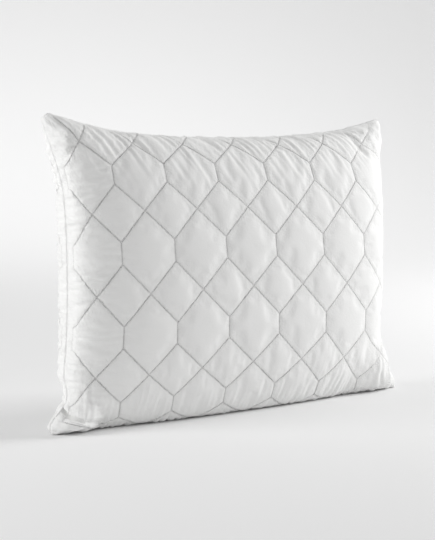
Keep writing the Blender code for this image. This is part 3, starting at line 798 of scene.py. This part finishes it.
# ---- puckers ---------------------------------------------------------------------------
def pucker_depth(across, down, lines, seed):
    """Fine gathers square to each seam, kept inside the cells of the quilting."""
    rng = np.random.default_rng(seed)
    left, right, top, bottom = edge_distance(across, down)
    total = np.zeros_like(across)
    for distance, along, pitch, height, reach, slant in (
        (left, down, 0.0125, 0.0025, 0.064, -0.20),
        (right, down, 0.0140, 0.0003, 0.040, 0.0),
        (top, across, 0.0115, 0.0013, 0.060, 0.60),
        (bottom, across, 0.0110, 0.0020, 0.066, 0.12),
    ):
        a, b, c, d = rng.uniform(0, 2 * np.pi, 4)
        place = along - slant * distance
        wander = 1.6 * np.sin(place / 0.0131 + a) + 1.2 * np.sin(place / 0.0287 - distance / 0.05 + b)
        wave = np.sin(2 * np.pi * place / pitch + wander)
        wave = wave - 0.35 * np.abs(wave) ** 0.7
        strength = 0.62 + 0.38 * np.sin(place / 0.0190 + distance / 0.021 + c)
        strength *= 0.70 + 0.30 * np.sin(place / 0.0071 + d)
        fade = np.exp(-((distance / reach) ** 2)) * np.clip(distance / 0.004, 0.0, 1.0)
        total += height * wave * strength * fade
    corner = np.hypot(np.minimum(left, right), np.minimum(top, bottom))
    total *= np.clip(corner / 0.080, 0.25, 1.0)
    return total * (1 - 0.85 * np.exp(-lines / 0.004))


def crease_depth(places):
    """A few longer folds where the filling has shifted."""
    total = np.zeros(places.shape[:-1])
    for start, end, width, depth in CREASES:
        gap, share = along_run(places, start, end)
        ends = np.clip(1 - np.abs(2 * share - 1) ** 4, 0.0, 1.0)
        total -= depth * ends * np.exp(-((gap / width) ** 2))
    return total


# ---- covers ----------------------------------------------------------------------------
def shell_values(values, rim, rings):
    """A fine grid's values in the order of a cover's nodes."""
    nodes = values.reshape((-1,) + values.shape[2:])
    inside = values[::2, ::2].reshape((-1,) + values.shape[2:])
    return np.concatenate([nodes, inside] + [nodes[rim]] * rings)


def cover(front, material):
    """One quilted cover with its seam allowance turned in."""
    side = "front" if front else "back"
    shape = pillow_shape()
    skin = refined(shape["skins"][0 if front else 1])
    skin[..., 2] = np.maximum(skin[..., 2], 0.0)
    across, down, flat = (refined(shape[key]) for key in ("across", "down", "flat"))
    lines = run_distance(flat)
    edge = np.minimum.reduce(edge_distance(across, down))
    groove = GROOVE_DEPTH * np.exp(-((lines / GROOVE_WIDTH) ** 2)) * np.clip(edge / 0.012, 0.0, 1.0)
    ripple = pucker_depth(across, down, lines, 7 if front else 8)
    if front:
        ripple += crease_depth(flat)
    skin = kept_apart(skin + grid_normals(skin) * (ripple - groove)[..., None])
    coarse = (skin - grid_normals(skin) * COVER_FABRIC)[::2, ::2]
    rim = rim_numbers(*skin.shape[:2])
    rim_points = skin.reshape(-1, 3)[rim]
    gap = seam_half_gap(rim_points[:, 2], rim_points[:, 0])
    rim_points[:, 1] = -gap
    skin.reshape(-1, 3)[rim] = rim_points
    inside = coarse.reshape(-1, 3)
    inner_rim = drawn_in(rim_points[::2], COVER_FABRIC, gap[::2] + COVER_FABRIC)
    inside[rim_numbers(*coarse.shape[:2])] = inner_rim
    inside[:, 2] = np.maximum(inside[:, 2], COVER_FABRIC)
    rings = [
        drawn_in(rim_points, SEAM_ALLOWANCE / 2, gap),
        drawn_in(rim_points, SEAM_ALLOWANCE, gap),
        drawn_in(rim_points, SEAM_ALLOWANCE, gap + COVER_FABRIC),
    ]
    shape.setdefault("covers", []).append(skin)
    nodes, faces = shell(skin, inside.reshape(coarse.shape), rings, back=not front)
    made = add_mesh(side + "_cover_cloth", nodes, faces, material)
    even_rows = np.interp(flat[..., 1], FLAT_ROWS, EVEN_ROWS)
    quilting = np.stack([flat[..., 0] - FIRST_COLUMN, even_rows - FIRST_TIP], axis=-1)
    add_flat_map(made, shell_values(flat, rim, len(rings)))
    add_flat_map(made, shell_values(quilting, rim, len(rings)), "quilting")
    gather = np.clip(np.exp(-lines / 0.006) + 0.8 * np.exp(-edge / 0.03) + 0.08, 0.0, 1.0)
    # where the furrow's dip and its painted shade show: off at the seams, fainter towards the right side
    quilted = np.clip((edge - 0.002) / 0.008, 0.0, 1.0)
    quilted *= np.clip((SKIN_WIDTH - across) / 0.110, 0.25, 1.0)
    for name, values in (("gather", gather), ("quilted", quilted)):
        layer = made.data.attributes.new(name, "FLOAT", "POINT")
        layer.data.foreach_set("value", shell_values(values, rim, len(rings)).astype(np.float32))
    finish_piece(made, "pillow", "cover_cotton", side + "_cover")


def lockstitch_thread(name, colour):
    """Spun polyester sewing thread, two plies twisted: a soft gloss with slanting ply marks.

    The plies turn once in 0.6 mm, drawn every 1.2 mm so that they show.
    """
    material, tree, shader = new_material(name, colour, 0.55, {"Sheen Weight": 0.2})
    turned = add_node(tree, "ShaderNodeMapping", (), {"Rotation": (0.0, 0.6, 0.0)},
                      {"Vector": object_place(tree)})
    bumps(tree, shader, (ribs(tree, turned.outputs["Vector"], 0.0012, "X", 1.0), 0.00015, 0.6))
    return material


def fleece(name, colour, scale, depth):
    """Crimped polyester fibre, carded and bonded: matt, soft and slightly stringy."""
    material, tree, shader = new_material(name, colour, 0.95, {"Sheen Weight": 0.35})
    mottle(tree, shader, colour, linear("#FFFFFF"), 30.0)
    bumps(tree, shader, (cloud(tree, object_place(tree), scale, 6.0, 2.5), depth, 0.7))
    return material


def spunbond(name, colour):
    """Spunbonded polypropylene lining: a thin sheet with a grid of point welds 1.5 mm apart."""
    material, tree, shader = new_material(name, colour, 0.7)
    bumps(tree, shader, (woven(tree, 0.0015), 0.0003, 0.5))
    return material


def zip_tape_twill(name, colour):
    """Woven polyester zip tape: smooth, with fine slanting ribs 1 mm apart."""
    material, tree, shader = new_material(name, colour, 0.6, {"Sheen Weight": 0.15})
    bumps(tree, shader, (ribs(tree, object_place(tree), 0.001, "DIAGONAL"), 0.0002, 0.5))
    return material


def moulded_nylon(name, colour):
    """Nylon coil, drawn and set with heat: smooth and slightly glossy."""
    material, tree, shader = new_material(name, colour, 0.35, {"IOR": 1.53})
    mottle(tree, shader, colour, linear("#FAFAF8"), 400.0)
    return material


def white_enamel(name, colour):
    """White enamel, sprayed and baked on die-cast zinc: glossy, a little wavy at the edges."""
    material, tree, shader = new_material(name, colour, 0.32, {
        "Coat Weight": 0.4, "Coat Roughness": 0.15,
    })
    mottle(tree, shader, colour, linear("#F1F1EE"), 600.0)
    bumps(tree, shader, (cloud(tree, object_place(tree), 900.0, 1.0), 0.00008, 0.25))
    return material


def satin_ribbon(name, colour):
    """Woven satin label ribbon: long floats that catch the light, ribs 0.8 mm apart."""
    material, tree, shader = new_material(name, colour, 0.38, {"Sheen Weight": 0.3})
    bumps(tree, shader, (woven(tree, 0.0008), 0.0001, 0.4))
    return material


def studio_paper(name, colour):
    """Seamless studio paper: even and matt, with the faint tooth of its pulp."""
    material, tree, shader = new_material(name, colour, 0.95, {"Specular IOR Level": 0.1})
    bumps(tree, shader, (cloud(tree, object_place(tree), 300.0, 2.0), 0.0002, 0.1))
    return material


# ---- things that repeat along a path ---------------------------------------------------
def repeat_tree(name, part):
    """A tree that sets one small part, made by part(tree, start), along every edge path."""
    tree = bpy.data.node_groups.new(name, "GeometryNodeTree")
    sockets = [("Geometry", "INPUT", "Geometry")]
    sockets += [(key, "INPUT", "Float") for key in ("Pitch", "Length", "Width", "Thickness", "Unevenness")]
    sockets += [("Material", "INPUT", "Material"), ("Geometry", "OUTPUT", "Geometry")]
    for label, in_out, kind in sockets:
        tree.interface.new_socket(label, in_out=in_out, socket_type="NodeSocket" + kind)
    start = add_node(tree, "NodeGroupInput").outputs
    path = add_node(tree, "GeometryNodeMeshToCurve", links={"Mesh": start["Geometry"]})
    places = add_node(tree, "GeometryNodeResampleCurve", {"mode": "LENGTH"},
                      links={"Curve": path.outputs["Curve"], "Length": start["Pitch"]})
    tangent = add_node(tree, "GeometryNodeInputTangent")
    facing = add_node(tree, "FunctionNodeAlignRotationToVector", {"axis": "X"},
                      links={"Vector": tangent.outputs["Tangent"]})
    lowest = math_node(tree, "MULTIPLY", start["Unevenness"], -1.0)
    tilt = add_node(tree, "FunctionNodeRandomValue", {"data_type": "FLOAT_VECTOR"}, {"Seed": 11},
                    {0: lowest, 1: start["Unevenness"]})
    turned = add_node(tree, "FunctionNodeRotateRotation", {"rotation_space": "LOCAL"},
                      links={"Rotation": facing.outputs["Rotation"], "Rotate By": tilt.outputs[0]})
    repeated = add_node(tree, "GeometryNodeInstanceOnPoints",
                        links={"Points": places.outputs["Curve"], "Instance": part(tree, start),
                               "Rotation": turned.outputs["Rotation"]})
    real = add_node(tree, "GeometryNodeRealizeInstances",
                    links={"Geometry": repeated.outputs["Instances"]})
    coloured = add_node(tree, "GeometryNodeSetMaterial",
                        links={"Geometry": real.outputs["Geometry"], "Material": start["Material"]})
    add_node(tree, "NodeGroupOutput", links={"Geometry": coloured.outputs["Geometry"]})
    return tree


def sized(tree, start, geometry):
    """Scales a part of unit size to the tree's Length, Width and Thickness."""
    size = add_node(tree, "ShaderNodeCombineXYZ",
                    links={"X": start["Length"], "Y": start["Width"], "Z": start["Thickness"]})
    scaled = add_node(tree, "GeometryNodeTransform",
                      links={"Geometry": geometry, "Scale": size.outputs["Vector"]})
    return scaled.outputs["Geometry"]


def stitch_part(tree, start):
    """A short plump length of thread."""
    bead = add_node(tree, "GeometryNodeMeshUVSphere", (), {"Segments": 6, "Rings": 4, "Radius": 0.5})
    return sized(tree, start, bead.outputs["Mesh"])


def coil_part(tree, start):
    """One turn of the coil, a ring square to its path."""
    ring, wire = (
        add_node(tree, "GeometryNodeCurvePrimitiveCircle", (), {"Resolution": sides, "Radius": radius})
        for sides, radius in ((10, 0.38), (5, 0.12))
    )
    turn = add_node(tree, "GeometryNodeCurveToMesh",
                    links={"Curve": ring.outputs["Curve"], "Profile Curve": wire.outputs["Curve"]})
    upright = add_node(tree, "GeometryNodeTransform", (), {"Rotation": (0.0, math.pi / 2, 0.0)},
                       {"Geometry": turn.outputs["Mesh"]})
    return sized(tree, start, upright.outputs["Geometry"])


def repeat_along(name, tree, paths, material, **sizes):
    """Sets the tree's part along these point lists and returns the plain mesh object."""
    edges = []
    first = 0
    for path in paths:
        edges += [(first + i, first + i + 1) for i in range(len(path) - 1)]
        first += len(path)
    guide_mesh = bpy.data.meshes.new("guide")
    guide_mesh.from_pydata(np.concatenate(paths).tolist(), edges, [])
    guide = add_object("guide", guide_mesh)
    modifier = guide.modifiers.new("repeat", "NODES")
    modifier.node_group = tree
    values = {"Material": material, **{key.capitalize(): value for key, value in sizes.items()}}
    for socket in tree.interface.items_tree:
        if socket.in_out == "INPUT" and socket.name in values:
            modifier[socket.identifier] = values[socket.name]
    depsgraph = bpy.context.evaluated_depsgraph_get()
    mesh = bpy.data.meshes.new_from_object(guide.evaluated_get(depsgraph))
    bpy.data.objects.remove(guide)
    bpy.data.meshes.remove(guide_mesh)
    mesh.name = name
    mesh.shade_smooth()
    return add_object(name, mesh)


def finish_piece(made, body, slot, *nodes):
    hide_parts(*nodes)
    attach(made, body)


# ---- layers behind the covers ----------------------------------------------------------
def lowest_near(values, reach):
    """Least value within reach nodes of each node."""
    for _ in range(2):
        padded = np.pad(values, [(reach, reach), (0, 0)], "edge")
        count = len(values)
        values = np.minimum.reduce([padded[k : k + count] for k in range(2 * reach + 1)]).T
    return values


def layer_skin(which, depth):
    """A coarser skin that stays this far below the lowest cloth near it."""
    shape = pillow_shape()
    smooth, normals = shape["smooth"], shape["normals"]
    rise = np.sum((shape["skins"][which] - smooth) * normals, axis=2)
    low = lowest_near(np.minimum(rise, 0.0), LAYER_REACH)
    columns = np.unique(np.linspace(0, len(low) - 1, LAYER_COLUMNS).round().astype(int))
    rows = np.unique(np.linspace(0, low.shape[1] - 1, LAYER_ROWS).round().astype(int))
    pick = np.ix_(columns, rows)
    skin = smooth[pick] + normals[pick] * (low[pick] - depth)[..., None]
    skin[..., 2] = np.maximum(skin[..., 2], depth)
    rim_nodes = rim_numbers(len(columns), len(rows))
    rim = smooth[pick].reshape(-1, 3)[rim_nodes]
    return skin, rim, rim_nodes, shape["flat"][pick].reshape(-1, 2)


def set_rim(skin, rim, rim_nodes, distance, depth):
    """Puts a layer's rim beside the seam allowance."""
    flat_skin = skin.reshape(-1, 3)
    flat_skin[rim_nodes] = drawn_in(rim, distance, depth)
    flat_skin[:, 2] = np.maximum(flat_skin[:, 2], COVER_FABRIC)
    flat_skin[:, 1] = np.minimum(flat_skin[:, 1], -np.min(depth))
    return flat_skin.reshape(skin.shape)


def quilted_layer(which, name, start, thickness, material, slot, node):
    """The wadding or the lining behind one cover."""
    outer, rim, rim_nodes, flat = layer_skin(which, start)
    inner = layer_skin(which, start + thickness)[0]
    gap = seam_half_gap(rim[:, 2], rim[:, 0]) + COVER_FABRIC + LAYER_GAP
    outer = set_rim(outer, rim, rim_nodes, start + LAYER_EAR_INSET, gap)
    inner = set_rim(inner, rim, rim_nodes, start + thickness + LAYER_EAR_INSET, gap)
    nodes, faces = shell(outer, inner, [], back=which == 1)
    made = add_mesh(name, nodes, faces, material)
    add_flat_map(made, np.concatenate([flat, flat]))
    finish_piece(made, "pillow", slot, node)


def loose_fill(material):
    """The fibre cushion inside both linings, closed all round."""
    halves = []
    for which in (0, 1):
        skin, rim, rim_nodes, _ = layer_skin(which, FILL_DEPTH)
        halves.append(set_rim(skin, rim, rim_nodes, SEAM_ALLOWANCE + 0.004, SEAM_HALF_GAP + LAYER_GAP))
    nodes, faces = shell(halves[0], mirrored(halves[1]), [], back=False)
    made = add_mesh("loose_fibre", nodes, faces, material)
    finish_piece(made, "pillow", "fibre", "fibre_fill")


# ---- thread, zip and label -------------------------------------------------------------
def quilting_paths(which):
    """Where the quilting thread lies, on the finished cover."""
    skin = pillow_shape()["covers"][which]
    normals = grid_normals(skin)
    share = np.linspace(0.0, 1.0, RUN_POINTS)
    paths = []
    for start, end in FLAT_RUNS:
        u, v = (a + share * (b - a) for a, b in zip(start, end))
        path = sample(skin, u, v) + sample(normals, u, v) * THREAD_RADIUS
        path = path[path[:, 2] > 0.003]
        if len(path) > 1:
            paths.append(leaned(mirrored(path) if which else path))
    return paths


def lengths_along(path):
    """Length from the start of a path to each of its points."""
    return np.concatenate([[0.0], np.cumsum(np.linalg.norm(np.diff(path, axis=0), axis=1))])


def rim_run(distance, swing=0.0, step=0.003):
    """A path along the sewn seam, leaving out the zip. It zigzags where swing isn't 0."""
    smooth = pillow_shape()["smooth"]
    columns, rows = smooth.shape[:2]
    rim = smooth.reshape(-1, 3)[rim_numbers(columns, rows)]
    at_zip = (rim[:, 0] > 0) & (np.abs(rim[:, 0] - ZIP_LINE) < 0.002)
    at_zip &= (rim[:, 2] > ZIP_BOTTOM - 0.04) & (rim[:, 2] < ZIP_TOP + 0.04)
    first = int(np.flatnonzero(at_zip)[-1]) + 1
    rim = np.roll(rim, -first, axis=0)[: int((~at_zip).sum())]
    path = drawn_in(rim, distance, 0.0)
    path[:, 2] = np.maximum(path[:, 2], distance)
    length = lengths_along(path)
    stations = np.arange(0.0, length[-1], step)
    path = np.stack([np.interp(stations, length, path[:, k]) for k in range(3)], axis=1)
    path[:, 1] += swing * (-1.0) ** np.arange(len(path))
    return leaned(path)


def loft(name, sections, material):
    """Joins (height, outline) sections into one closed piece, lowest first."""
    count = len(sections[0][1])
    nodes = [(x, y, height) for height, outline in sections for x, y in outline]
    faces = [tuple(reversed(range(count)))]
    for start in range(0, len(nodes) - count, count):
        for i in range(count):
            j = (i + 1) % count
            faces.append((start + i, start + j, start + count + j, start + count + i))
    faces.append(tuple(range(len(nodes) - count, len(nodes))))
    made = add_mesh(name, leaned(nodes), faces, material)
    made.data.set_sharp_from_angle(angle=0.7)
    return made


def zip_tape(side, sign, material):
    """One tape: its leg is sewn into the cover's turned-in edge and its lip carries the coil."""
    low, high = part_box("zip_tape_front")
    lip_high = ZIP_LINE - LIP_INSET
    lip_low = lip_high - (TAPE_OUTER - TAPE_INNER)
    coil_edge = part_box("zip_coil_back")[0][1]
    bend = 0.0005
    outline = [
        (low[0], TAPE_INNER), (lip_low - bend, TAPE_INNER),
        (lip_low - 0.3 * bend, TAPE_INNER - 0.3 * bend), (lip_low, TAPE_INNER - bend),
        (lip_low, coil_edge), (lip_high, coil_edge), (lip_high, TAPE_OUTER - bend),
        (lip_high - 0.3 * bend, TAPE_OUTER - 0.3 * bend), (lip_high - bend, TAPE_OUTER),
        (low[0], TAPE_OUTER),
    ]
    sections = []
    for height in np.linspace(low[2], high[2], 121):
        width = seam_half_gap(height, 1.0) / ZIP_HALF_GAP
        width = sign * min(1.0, max(0.12, (width - 0.12) / 0.88))
        above = (height - STRAIGHT_SEAM_TOP) / (EAR_TO_EAR_HEIGHT - STRAIGHT_SEAM_TOP)
        sections.append((height, [(x + seam_flare(above), y * width) for x, y in outline[::sign]]))
    made = loft("woven_tape_" + side, sections, material)
    finish_piece(made, "pillow", "zip_tape", "zip_tape_" + side)


def label_sheet(material):
    """A blank label caught in the seam and folded round onto the back."""
    low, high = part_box("care_label")
    corners = np.array([
        [low[0] - 0.004, 0.0], [low[0], 0.0], [high[0] - 0.0006, 0.0002], [high[0] - 0.0001, 0.0014],
        [high[0] - 0.0002, 0.005], [high[0] - 0.0007, 0.012], [high[0] - 0.0016, high[1] - 0.001],
    ])
    length = lengths_along(corners)
    along = np.linspace(0.0, length[-1], 33)
    path = np.stack([np.interp(along, length, corners[:, k]) for k in (0, 1)], axis=1)
    for _ in range(2):
        path[1:-1] = (path[:-2] + 2 * path[1:-1] + path[2:]) / 4
    heights = np.linspace(low[2], high[2], 25)
    turn = np.gradient(path, axis=0)
    out = np.stack([turn[:, 1], -turn[:, 0]], axis=1)
    out /= np.linalg.norm(out, axis=1, keepdims=True)
    nodes = []
    for side in (0.5, -0.5):
        for i, (x, y) in enumerate(path):
            for z in heights:
                wave = 0.0005 * math.sin(9 * i / 33 + 160 * (z - low[2])) * (i / 33) ** 2
                reach = side * LABEL_THICKNESS + wave
                nodes.append((x + out[i, 0] * reach, y + out[i, 1] * reach, z))
    n, m = len(path), len(heights)
    near = grid_faces(n, m)
    far = grid_faces(n, m, n * m)[:, ::-1]
    rim = rim_numbers(n, m)
    edge = np.stack([rim, np.roll(rim, -1), np.roll(rim, -1) + n * m, rim + n * m], axis=1)
    made = add_mesh("satin_label", nodes, np.concatenate([near, far, edge]), material)
    add_flat_map(made, np.array([(u, z) for _ in (0, 1) for u in along for z in heights]))
    finish_piece(made, "pillow", "label_satin", "care_label")


# ---- the studio ------------------------------------------------------------------------
def add_light(name, place, target, size, power):
    light = bpy.data.lights.new(name, "AREA")
    light.shape = "RECTANGLE"
    light.size, light.size_y = size
    light.energy = power
    lamp = add_object(name, light)
    lamp.location = place
    lamp.rotation_euler = (Vector(target) - Vector(place)).to_track_quat("-Z", "Y").to_euler()


def backdrop(material):
    """A round floor that curves up into a low wall on every side."""
    rings = [(1.5, 0.0), (SWEEP_START, 0.0)]
    for step in range(1, SWEEP_STEPS + 1):
        angle = SWEEP_TURN * step / SWEEP_STEPS
        rings.append((
            SWEEP_START + SWEEP_RADIUS * math.sin(angle), SWEEP_RADIUS * (1 - math.cos(angle)),
        ))
    nodes = [(0.0, 0.0, 0.0)]
    for radius, height in rings:
        for k in range(SWEEP_SIDES):
            angle = 2 * math.pi * k / SWEEP_SIDES
            nodes.append((radius * math.cos(angle), radius * math.sin(angle), height))
    faces = []
    for k in range(SWEEP_SIDES):
        n = (k + 1) % SWEEP_SIDES
        faces.append((0, 1 + k, 1 + n))
        for near in range(1, 1 + (len(rings) - 1) * SWEEP_SIDES, SWEEP_SIDES):
            far = near + SWEEP_SIDES
            faces.append((near + k, far + k, far + n, near + n))
    add_mesh("studio_sweep", nodes, faces, material)


def add_camera():
    camera = add_object("camera", bpy.data.cameras.new("camera"))
    camera.data.sensor_width = 36.0
    camera.data.lens = CAMERA_LENS
    camera.location = CAMERA_PLACE
    camera.rotation_euler = (math.radians(90 - CAMERA_DIP), 0.0, math.radians(-CAMERA_TURN))
    bpy.context.scene.camera = camera


# ---- settings a user may change --------------------------------------------------------
def length_setting(name, description, default):
    return bpy.props.FloatProperty(
        name=name, description=description, default=default, unit="LENGTH")


def colour_setting(name, description, hex_colour):
    return bpy.props.FloatVectorProperty(
        name=name, description=description, subtype="COLOR", default=linear(hex_colour))


class PillowSizes(bpy.types.PropertyGroup):
    stitch_pitch: length_setting("Stitch pitch", "From one quilting stitch to the next", 0.0031)
    stitch_length: length_setting("Stitch length", "Thread that shows in one stitch", 0.0025)
    stitch_width: length_setting("Stitch width", "Width of the thread as it lies on the cloth", 0.0008)
    wadding: length_setting("Wadding", "Thickness of the quilted wadding", 0.0035)
    coil_pitch: length_setting("Coil pitch", "From one turn of the zip's coil to the next", 0.0013)
    coil_width: length_setting("Coil width", "Width of one side of the zip's coil", 0.0019)


class PillowColours(bpy.types.PropertyGroup):
    cotton: colour_setting("Cotton", "Bleached cotton of the covers", "#F3F3F2")
    thread: colour_setting("Thread", "Sewing thread", "#F6F6F5")
    filling: colour_setting("Filling", "Wadding, lining and loose fibre", "#F0F0EC")
    tape: colour_setting("Zip tape", "Woven tape and nylon coil of the zip", "#EFEFED")
    metal: colour_setting("Zip metal", "Enamel of the slider and puller", "#E4E4E3")
    paper: colour_setting("Backdrop", "Studio paper", "#F4F4F4")


def settings():
    scene = bpy.context.scene
    return scene.pillow_sizes, scene.pillow_colours


# ---- operators -------------------------------------------------------------------------
class PILLOW_OT_covers(bpy.types.Operator):
    """Build the front and back covers as blown-up quilted cloth"""
    bl_idname = "pillow.covers"
    bl_label = "Covers"

    def execute(self, context):
        cotton = cotton_percale("bleached_cotton_percale", settings()[1].cotton)
        for front in (True, False):
            cover(front, cotton)
        return {"FINISHED"}


class PILLOW_OT_layers(bpy.types.Operator):
    """Build the wadding and lining behind each cover, and the loose fibre between them"""
    bl_idname = "pillow.layers"
    bl_label = "Wadding, lining and fill"

    def execute(self, context):
        sizes, colours = settings()
        wadding = fleece("bonded_polyester_wadding", colours.filling, 350.0, 0.0008)
        lining = spunbond("spunbond_polypropylene_lining", colours.filling)
        fibre = fleece("crimped_polyester_fibre", colours.filling, 140.0, 0.002)
        behind = WADDING_DEPTH + sizes.wadding + LAYER_GAP
        for which, side in enumerate(("front", "back")):
            quilted_layer(which, side + "_bonded_wadding", WADDING_DEPTH, sizes.wadding, wadding,
                          "wadding", side + "_wadding")
            quilted_layer(which, side + "_spunbond_lining", behind, LINING_THICKNESS, lining,
                          "lining", side + "_lining")
        loose_fill(fibre)
        return {"FINISHED"}


class PILLOW_OT_quilting(bpy.types.Operator):
    """Sew the quilting stitches along the hexagons on both covers"""
    bl_idname = "pillow.quilting"
    bl_label = "Quilting stitches"

    def execute(self, context):
        sizes, colours = settings()
        thread = lockstitch_thread("quilting_polyester_thread", colours.thread)
        tree = repeat_tree("Stitches", stitch_part)
        for which, side in enumerate(("front", "back")):
            made = repeat_along(
                side + "_quilting_stitches", tree, quilting_paths(which), thread,
                pitch=sizes.stitch_pitch, length=sizes.stitch_length, width=sizes.stitch_width,
                thickness=sizes.stitch_width, unevenness=0.05)
            finish_piece(made, "pillow", "thread", side + "_quilting_thread")
        return {"FINISHED"}


class PILLOW_OT_seams(bpy.types.Operator):
    """Sew the seam's lockstitch, its overlocked edge and the zip's stitching"""
    bl_idname = "pillow.seams"
    bl_label = "Seam stitches"

    def execute(self, context):
        thread = lockstitch_thread("seam_polyester_thread", settings()[1].thread)
        tree = repeat_tree("Seam stitches", stitch_part)
        runs = [
            ("seam_lockstitch", rim_run(SEAM_ALLOWANCE / 2), SEAM_STITCH_PITCH, "seam_thread"),
            ("overlocked_edge", rim_run(SEAM_ALLOWANCE, 0.0005, OVERLOCK_PITCH), OVERLOCK_PITCH,
             "overlock_thread"),
        ]
        for side, sign in (("front", -1), ("back", 1)):
            x = ZIP_LINE - TAPE_DEPTH / 2
            y = sign * (TAPE_OUTER + 0.0003)
            line = np.array([[x, y, ZIP_BOTTOM + 0.004], [x, y, ZIP_TOP - 0.004]])
            runs.append((side + "_zip_stitches", line, SEAM_STITCH_PITCH, "zip_stitching_" + side))
        for name, path, pitch, node in runs:
            sewn = repeat_along(name, tree, [path], thread, pitch=pitch, **SEAM_STITCH)
            finish_piece(sewn, "pillow", "thread", node)
        return {"FINISHED"}


class PILLOW_OT_zip(bpy.types.Operator):
    """Build the zip's tapes and coils and finish its metal pieces"""
    bl_idname = "pillow.zip"
    bl_label = "Zip"

    def execute(self, context):
        sizes, colours = settings()
        tape = zip_tape_twill("polyester_zip_tape", colours.tape)
        nylon = moulded_nylon("nylon_zip_coil", colours.tape)
        metal = white_enamel("white_enamelled_zinc", colours.metal)
        tree = repeat_tree("Coil turns", coil_part)
        for side, sign in (("front", -1), ("back", 1)):
            zip_tape(side, sign, tape)
            low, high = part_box("zip_coil_" + side)
            x, y = (low[0] + high[0]) / 2, (low[1] + high[1]) / 2
            half_turn = sizes.coil_pitch / 2
            line = np.array([[x, y, low[2] + half_turn], [x, y, high[2] - half_turn]])
            coil = repeat_along(
                side + "_nylon_coil", tree, [line], nylon, pitch=sizes.coil_pitch,
                length=sizes.coil_pitch * 1.6, width=sizes.coil_width, thickness=sizes.coil_width,
                unevenness=0.0)
            finish_piece(coil, "pillow", "zip_coil", "zip_coil_" + side)
        for nodes, material in ((METAL_NODES, metal), (STOP_NODES, nylon)):
            for node in nodes:
                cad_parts[node].material_slots[0].material = material
        return {"FINISHED"}


class PILLOW_OT_label(bpy.types.Operator):
    """Build the blank satin label that is caught in the seam"""
    bl_idname = "pillow.label"
    bl_label = "Label"

    def execute(self, context):
        label_sheet(satin_ribbon("woven_satin_ribbon", settings()[1].thread))
        return {"FINISHED"}


class PILLOW_OT_stage(bpy.types.Operator):
    """Set up the backdrop, the soft lights and the camera"""
    bl_idname = "pillow.stage"
    bl_label = "Studio"

    def execute(self, context):
        scene = context.scene
        backdrop(studio_paper("seamless_paper", settings()[1].paper))
        world = bpy.data.worlds.new("studio")
        scene.world = world
        world.use_nodes = True
        sky = world.node_tree.nodes["Background"].inputs
        sky["Color"].default_value = (1.0, 1.0, 1.0, 1.0)
        sky["Strength"].default_value = WORLD_STRENGTH
        for light in LIGHTS:
            add_light(*light)
        add_camera()
        scene.view_settings.view_transform = "Standard"
        return {"FINISHED"}


class PILLOW_PT_panel(bpy.types.Panel):
    """Lists the pillow's pieces and its settings"""
    bl_label = "Quilted Pillow"
    bl_idname = "PILLOW_PT_panel"
    bl_space_type = "VIEW_3D"
    bl_region_type = "UI"
    bl_category = "Pillow"

    def draw(self, context):
        for group in settings():
            box = self.layout.box()
            for name in group.bl_rna.properties.keys():
                if name not in ("rna_type", "name"):
                    box.prop(group, name)
        for operator in OPERATORS:
            self.layout.operator(operator.bl_idname)


OPERATORS = (
    PILLOW_OT_covers, PILLOW_OT_layers, PILLOW_OT_quilting, PILLOW_OT_seams, PILLOW_OT_zip,
    PILLOW_OT_label, PILLOW_OT_stage,
)
CLASSES = (PillowSizes, PillowColours) + OPERATORS + (PILLOW_PT_panel,)


def register():
    for made in CLASSES:
        bpy.utils.register_class(made)
    bpy.types.Scene.pillow_sizes = bpy.props.PointerProperty(type=PillowSizes)
    bpy.types.Scene.pillow_colours = bpy.props.PointerProperty(type=PillowColours)


def unregister():
    del bpy.types.Scene.pillow_colours
    del bpy.types.Scene.pillow_sizes
    for made in reversed(CLASSES):
        bpy.utils.unregister_class(made)


def main():
    register()
    bpy.ops.pillow.covers()
    bpy.ops.pillow.layers()
    bpy.ops.pillow.quilting()
    bpy.ops.pillow.seams()
    bpy.ops.pillow.zip()
    bpy.ops.pillow.label()
    bpy.ops.pillow.stage()


if __name__ == "__main__":
    main()
